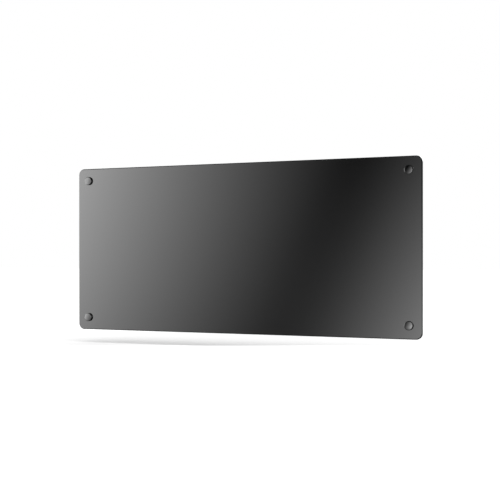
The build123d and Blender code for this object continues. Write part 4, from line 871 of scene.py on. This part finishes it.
# ---------------------------------------------------------------- indicator
# A clear acrylic pipe, pressed into the underside of the box. It takes the light of a surface-mounted
# LED on the board down to a lens that shows from below.
pipe = Finish("clear_pipe", transmission_weight=0.92, ior=1.49)
pipe.paint(
    base_color=pipe.mix(pipe.noise(200.0), (0.90, 0.91, 0.92), (0.98, 0.98, 0.98)),
    roughness=0.05 + 0.08 * pipe.noise(300.0, 3.0),
)
pipe.relief(pipe.noise(700.0, 2.0), 0.00001)
pipe.cover("indicator_light_pipe")
natural_plastic("led_body", (0.82, 0.80, 0.70), (0.76, 0.72, 0.55)).cover("indicator_led")


# ---------------------------------------------------------------- cable gland
# A nylon gland in the underside of the box: a threaded body with a hexagon, a lock nut inside the box,
# a rubber seal, and a dome nut that squeezes it.
spark_texture(
    "black_nylon", (0.020, 0.020, 0.020), (0.038, 0.038, 0.038), roughness=0.4, depth=0.00002
).cover("gland_body", "gland_lock_nut", "gland_dome_nut")


# ---------------------------------------------------------------- leads
# Silicone sleeved stranded copper: brown from the block to the switch, board, cut-outs and film, blue
# back from it, white to the sensor, and green and yellow to the earth stud.
def lead_sleeve(name, colour, second=None):
    sleeve = Finish(name, ior=1.43)
    dust = sleeve.noise(120.0, 4.0)
    body = sleeve.mix(0.35 * dust, colour, tuple(0.6 * channel for channel in colour))
    if second:
        side = sleeve.along("Y", sleeve.facing()) > 0.1
        body = sleeve.mix(side, body, second)
    sleeve.paint(base_color=body, roughness=0.42 + 0.18 * dust)
    sleeve.relief(sleeve.noise(1500.0, 2.0), 0.00002)
    return sleeve


lead_sleeve("brown_lead", (0.15, 0.055, 0.022)).cover("live_leads")
lead_sleeve("blue_lead", (0.02, 0.09, 0.42)).cover("neutral_leads")
lead_sleeve("white_lead", (0.78, 0.78, 0.75)).cover("sensor_lead")
lead_sleeve("earth_lead", (0.06, 0.30, 0.05), (0.80, 0.66, 0.05)).cover("earth_lead")


# ---------------------------------------------------------------- wall bracket
# Two rails folded from 2 mm galvanised steel, with keyholes for the mushroom studs, and a channel of the
# same sheet riveted across them. The zinc froze in flat crystals, which the fold lines cross.
sheet = Finish("galvanised_sheet", metallic=1.0)
crystals = sheet.node("TexVoronoi", {}, {"Vector": sheet.place(), "Scale": 190.0}, "Color")
spangle = sheet.along("X", crystals)
fine = sheet.noise(420.0, 4.0)
storage = sheet.noise(7.0, 6.0).between(0.5, 0.78)
bloom = sheet.mix(0.75 * spangle + 0.25 * fine, (0.47, 0.49, 0.51), (0.66, 0.67, 0.68))
sheet.paint(
    base_color=sheet.mix(0.3 * storage, bloom, (0.60, 0.61, 0.61)),
    roughness=0.34 + 0.08 * spangle + 0.14 * storage + 0.08 * fine,
)
sheet.relief(spangle + 0.3 * fine, 0.00002)
sheet.cover("left_wall_rail", "right_wall_rail", "bracket_crossbar")


# ---------------------------------------------------------------- floor, screen, lights and camera
# A white floor a little below the panel, and a curved studio screen in front of it that only glossy
# surfaces see: bright to the left and right, with a dark slanted gap that the black glass mirrors.
floor_height = -0.262
floor_half = 20.0
floor_mesh = bpy.data.meshes.new("floor")
corners = [(floor_half * x, floor_half * y, floor_height) for x, y in ((-1, -1), (1, -1), (1, 1), (-1, 1))]
floor_mesh.from_pydata(corners, [], [(0, 1, 2, 3)])
floor = bpy.data.objects.new("floor", floor_mesh)
bpy.context.scene.collection.objects.link(floor)
floor.visible_glossy = False

paper_material = bpy.data.materials.new("white_paper")
paper = Shader(paper_material)
diffuse = paper.node("BsdfDiffuse", {}, {"Color": (0.8, 0.8, 0.8)})
seen_rays = paper.node("LightPath", {}, {}, "Is Camera Ray")
seen_rays += paper.node("LightPath", {}, {}, "Is Transmission Ray")

# Painted light: the floor's glow is raised on the near side of a line under the panel, which paints out the
# panel's shadow
# # there, so the shadow ends in a soft line under the panel, as it does in the photo. The floor is pure
# white further out.
shadow_side = (-0.4312, 0.9022, 0.0)
away = paper.node("VectorMath", {"operation": "LENGTH"}, {0: paper.place()}, "Value")
into_shadow = paper.node(
    "VectorMath", {"operation": "DOT_PRODUCT"}, {0: paper.place(), 1: shadow_side}, "Value"
)
# the 0.42 term is the painted light in front of the line; the other terms keep the floor evenly white
white_floor_and_painted_light = 0.239 + 0.42 * (1.0 - into_shadow.between(0.0, 0.08)) + 0.4 * away.between(0.6, 1.1)
glow = paper.node("Emission", {}, {"Color": (1.0, 1.0, 1.0), "Strength": white_floor_and_painted_light * seen_rays})
lit_paper = paper.node("AddShader", {}, {0: diffuse, 1: glow})
paper.feed(paper.tree.nodes["Material Output"].inputs["Surface"], lit_paper)
floor_mesh.materials.append(paper_material)

screen_radius = 2.7
screen_reach = 100  # degrees to each side of straight ahead
screen_step = 4
screen_bottom = -1.6
screen_top = 1.9
outline = [math.radians(turn) for turn in range(-screen_reach, screen_reach + 1, screen_step)]
verts = [
    (screen_radius * math.sin(turn), -screen_radius * math.cos(turn), height)
    for turn in outline
    for height in (screen_bottom, screen_top)
]
faces = [(2 * i, 2 * i + 2, 2 * i + 3, 2 * i + 1) for i in range(len(outline) - 1)]
screen_mesh = bpy.data.meshes.new("studio_screen")
screen_mesh.from_pydata(verts, [], faces)
screen = bpy.data.objects.new("studio_screen", screen_mesh)
bpy.context.scene.collection.objects.link(screen)
screen.visible_camera = False
screen.visible_diffuse = False
screen.visible_transmission = False
screen.visible_shadow = False

screen_material = bpy.data.materials.new("screen_light")
light = Shader(screen_material)
turn = light.along("X").maths("ARCTAN2", light.along("X"), -1.0 * light.along("Y"))
rise = light.along("Z")


def slanted(degrees, lean, bend):
    """The turn at which a light's edge stands at each height: lean and bend are degrees to the metre."""
    return math.radians(degrees) + math.radians(lean) * rise + math.radians(bend) * rise * rise


def upright_strip(start, full, fading, end):
    """1 between two turns in degrees, and 0 outside them."""
    opening = turn.between(math.radians(start), math.radians(full))
    return opening * (1.0 - turn.between(math.radians(fading), math.radians(end)))


full_light = 2.9
left = ((4.75 + 0.53 * rise) * (slanted(-11.8, 6.0, -5.1) - turn)).higher(0.0).lower(full_light)
right = ((6.03 - 1.07 * rise) * (turn - slanted(-20.8, 9.6, 2.8))).higher(0.0).lower(full_light)
right = right * (1.0 - turn.between(math.radians(19.0), math.radians(27.0)))
low_glow = (0.01 - 0.138 * rise).higher(0.0)
edge_light = (1.0 - 3.5 * rise).higher(0.0).lower(2.4) * upright_strip(55.0, 62.0, 84.0, 92.0)
softbox_height = rise.between(-0.5, -0.2) * (1.0 - rise.between(0.8, 1.3))
softbox = (8.0 + 6.0 * rise) * upright_strip(5.0, 12.0, 18.0, 24.0) * softbox_height
height_fade = rise.between(-1.1, -0.5) * (1.0 - 0.8 * rise.between(0.6, 1.3))
mirrored_floor = 0.9 * (1.0 - rise.between(-1.3, -0.8))
screen_level = (left * left + right * right + softbox + low_glow + edge_light) * height_fade + mirrored_floor
shine = light.node("Emission", {}, {"Color": (1.0, 1.0, 1.0), "Strength": screen_level})
light.feed(light.tree.nodes["Material Output"].inputs["Surface"], shine)
screen_mesh.materials.append(screen_material)

sky_level = 0.75
bpy.context.scene.world = bpy.data.worlds.new("studio")
studio = Shader(bpy.context.scene.world)
toward = studio.node("TexCoord", {}, {}, "Generated")
up = studio.along("Z", toward)
back = studio.along("Y", toward)
walls = up.between(-0.45, -0.1) * (1.0 - 0.7 * up.between(0.45, 0.8))
dark_ring = back.between(0.66, 0.76) * (1.0 - back.between(0.92, 0.97))
floor_around = 0.87 * (1.0 - up.between(-0.5, -0.3)) * abs(back).between(0.1, 0.35)
mirrored = (0.03 + 0.5 * walls) * (1.0 - dark_ring) + floor_around
camera_ray = studio.node("LightPath", {}, {}, "Is Camera Ray")
gloss_ray = studio.node("LightPath", {}, {}, "Is Glossy Ray")
seen = sky_level + (1.0 - sky_level) * camera_ray + (mirrored - sky_level) * gloss_ray
sky = studio.node("Background", {}, {"Color": (1.0, 1.0, 1.0), "Strength": seen})
studio.feed(studio.tree.nodes["World Output"].inputs["Surface"], sky)


def soft_lamp(name, place, size, power):
    """A rectangular lamp that looks at the middle of the heater."""
    lamp = bpy.data.lights.new(name, "AREA")
    lamp.shape = "RECTANGLE"
    lamp.size, lamp.size_y = size
    lamp.energy = power
    holder = bpy.data.objects.new(name, lamp)
    holder.location = place
    holder.rotation_euler = (-Vector(place)).to_track_quat("-Z", "Y").to_euler()
    bpy.context.scene.collection.objects.link(holder)
    return holder


overhead = soft_lamp("overhead", (0.3, -0.7, 2.8), size=(2.6, 1.4), power=40.0)
overhead.visible_glossy = False
behind = soft_lamp("behind", (0.9, 2.6, 1.3), size=(2.0, 1.4), power=40.0)
not_lit_from_behind = bpy.data.collections.new("not_lit_from_behind")
not_lit_from_behind.objects.link(floor)
not_lit_from_behind.collection_objects[0].light_linking.link_state = "EXCLUDE"
behind.light_linking.receiver_collection = not_lit_from_behind

image_width = 500
horizon_below_middle = 8.98  # pixels
axis_left_of_middle = 0.35  # pixels
camera = bpy.data.cameras.new("camera")
camera.sensor_width = 36.0
camera.lens = 79.4
camera.shift_x = axis_left_of_middle / image_width
camera.shift_y = horizon_below_middle / image_width
viewer = bpy.data.objects.new("camera", camera)
viewer.location = (1.2776, -2.6481, -0.0278)
viewer.rotation_euler = Vector((-0.4312, 0.9022, 0.0)).to_track_quat("-Z", "Y").to_euler()
bpy.context.scene.collection.objects.link(viewer)
bpy.context.scene.camera = viewer
bpy.context.scene.view_settings.view_transform = "Standard"
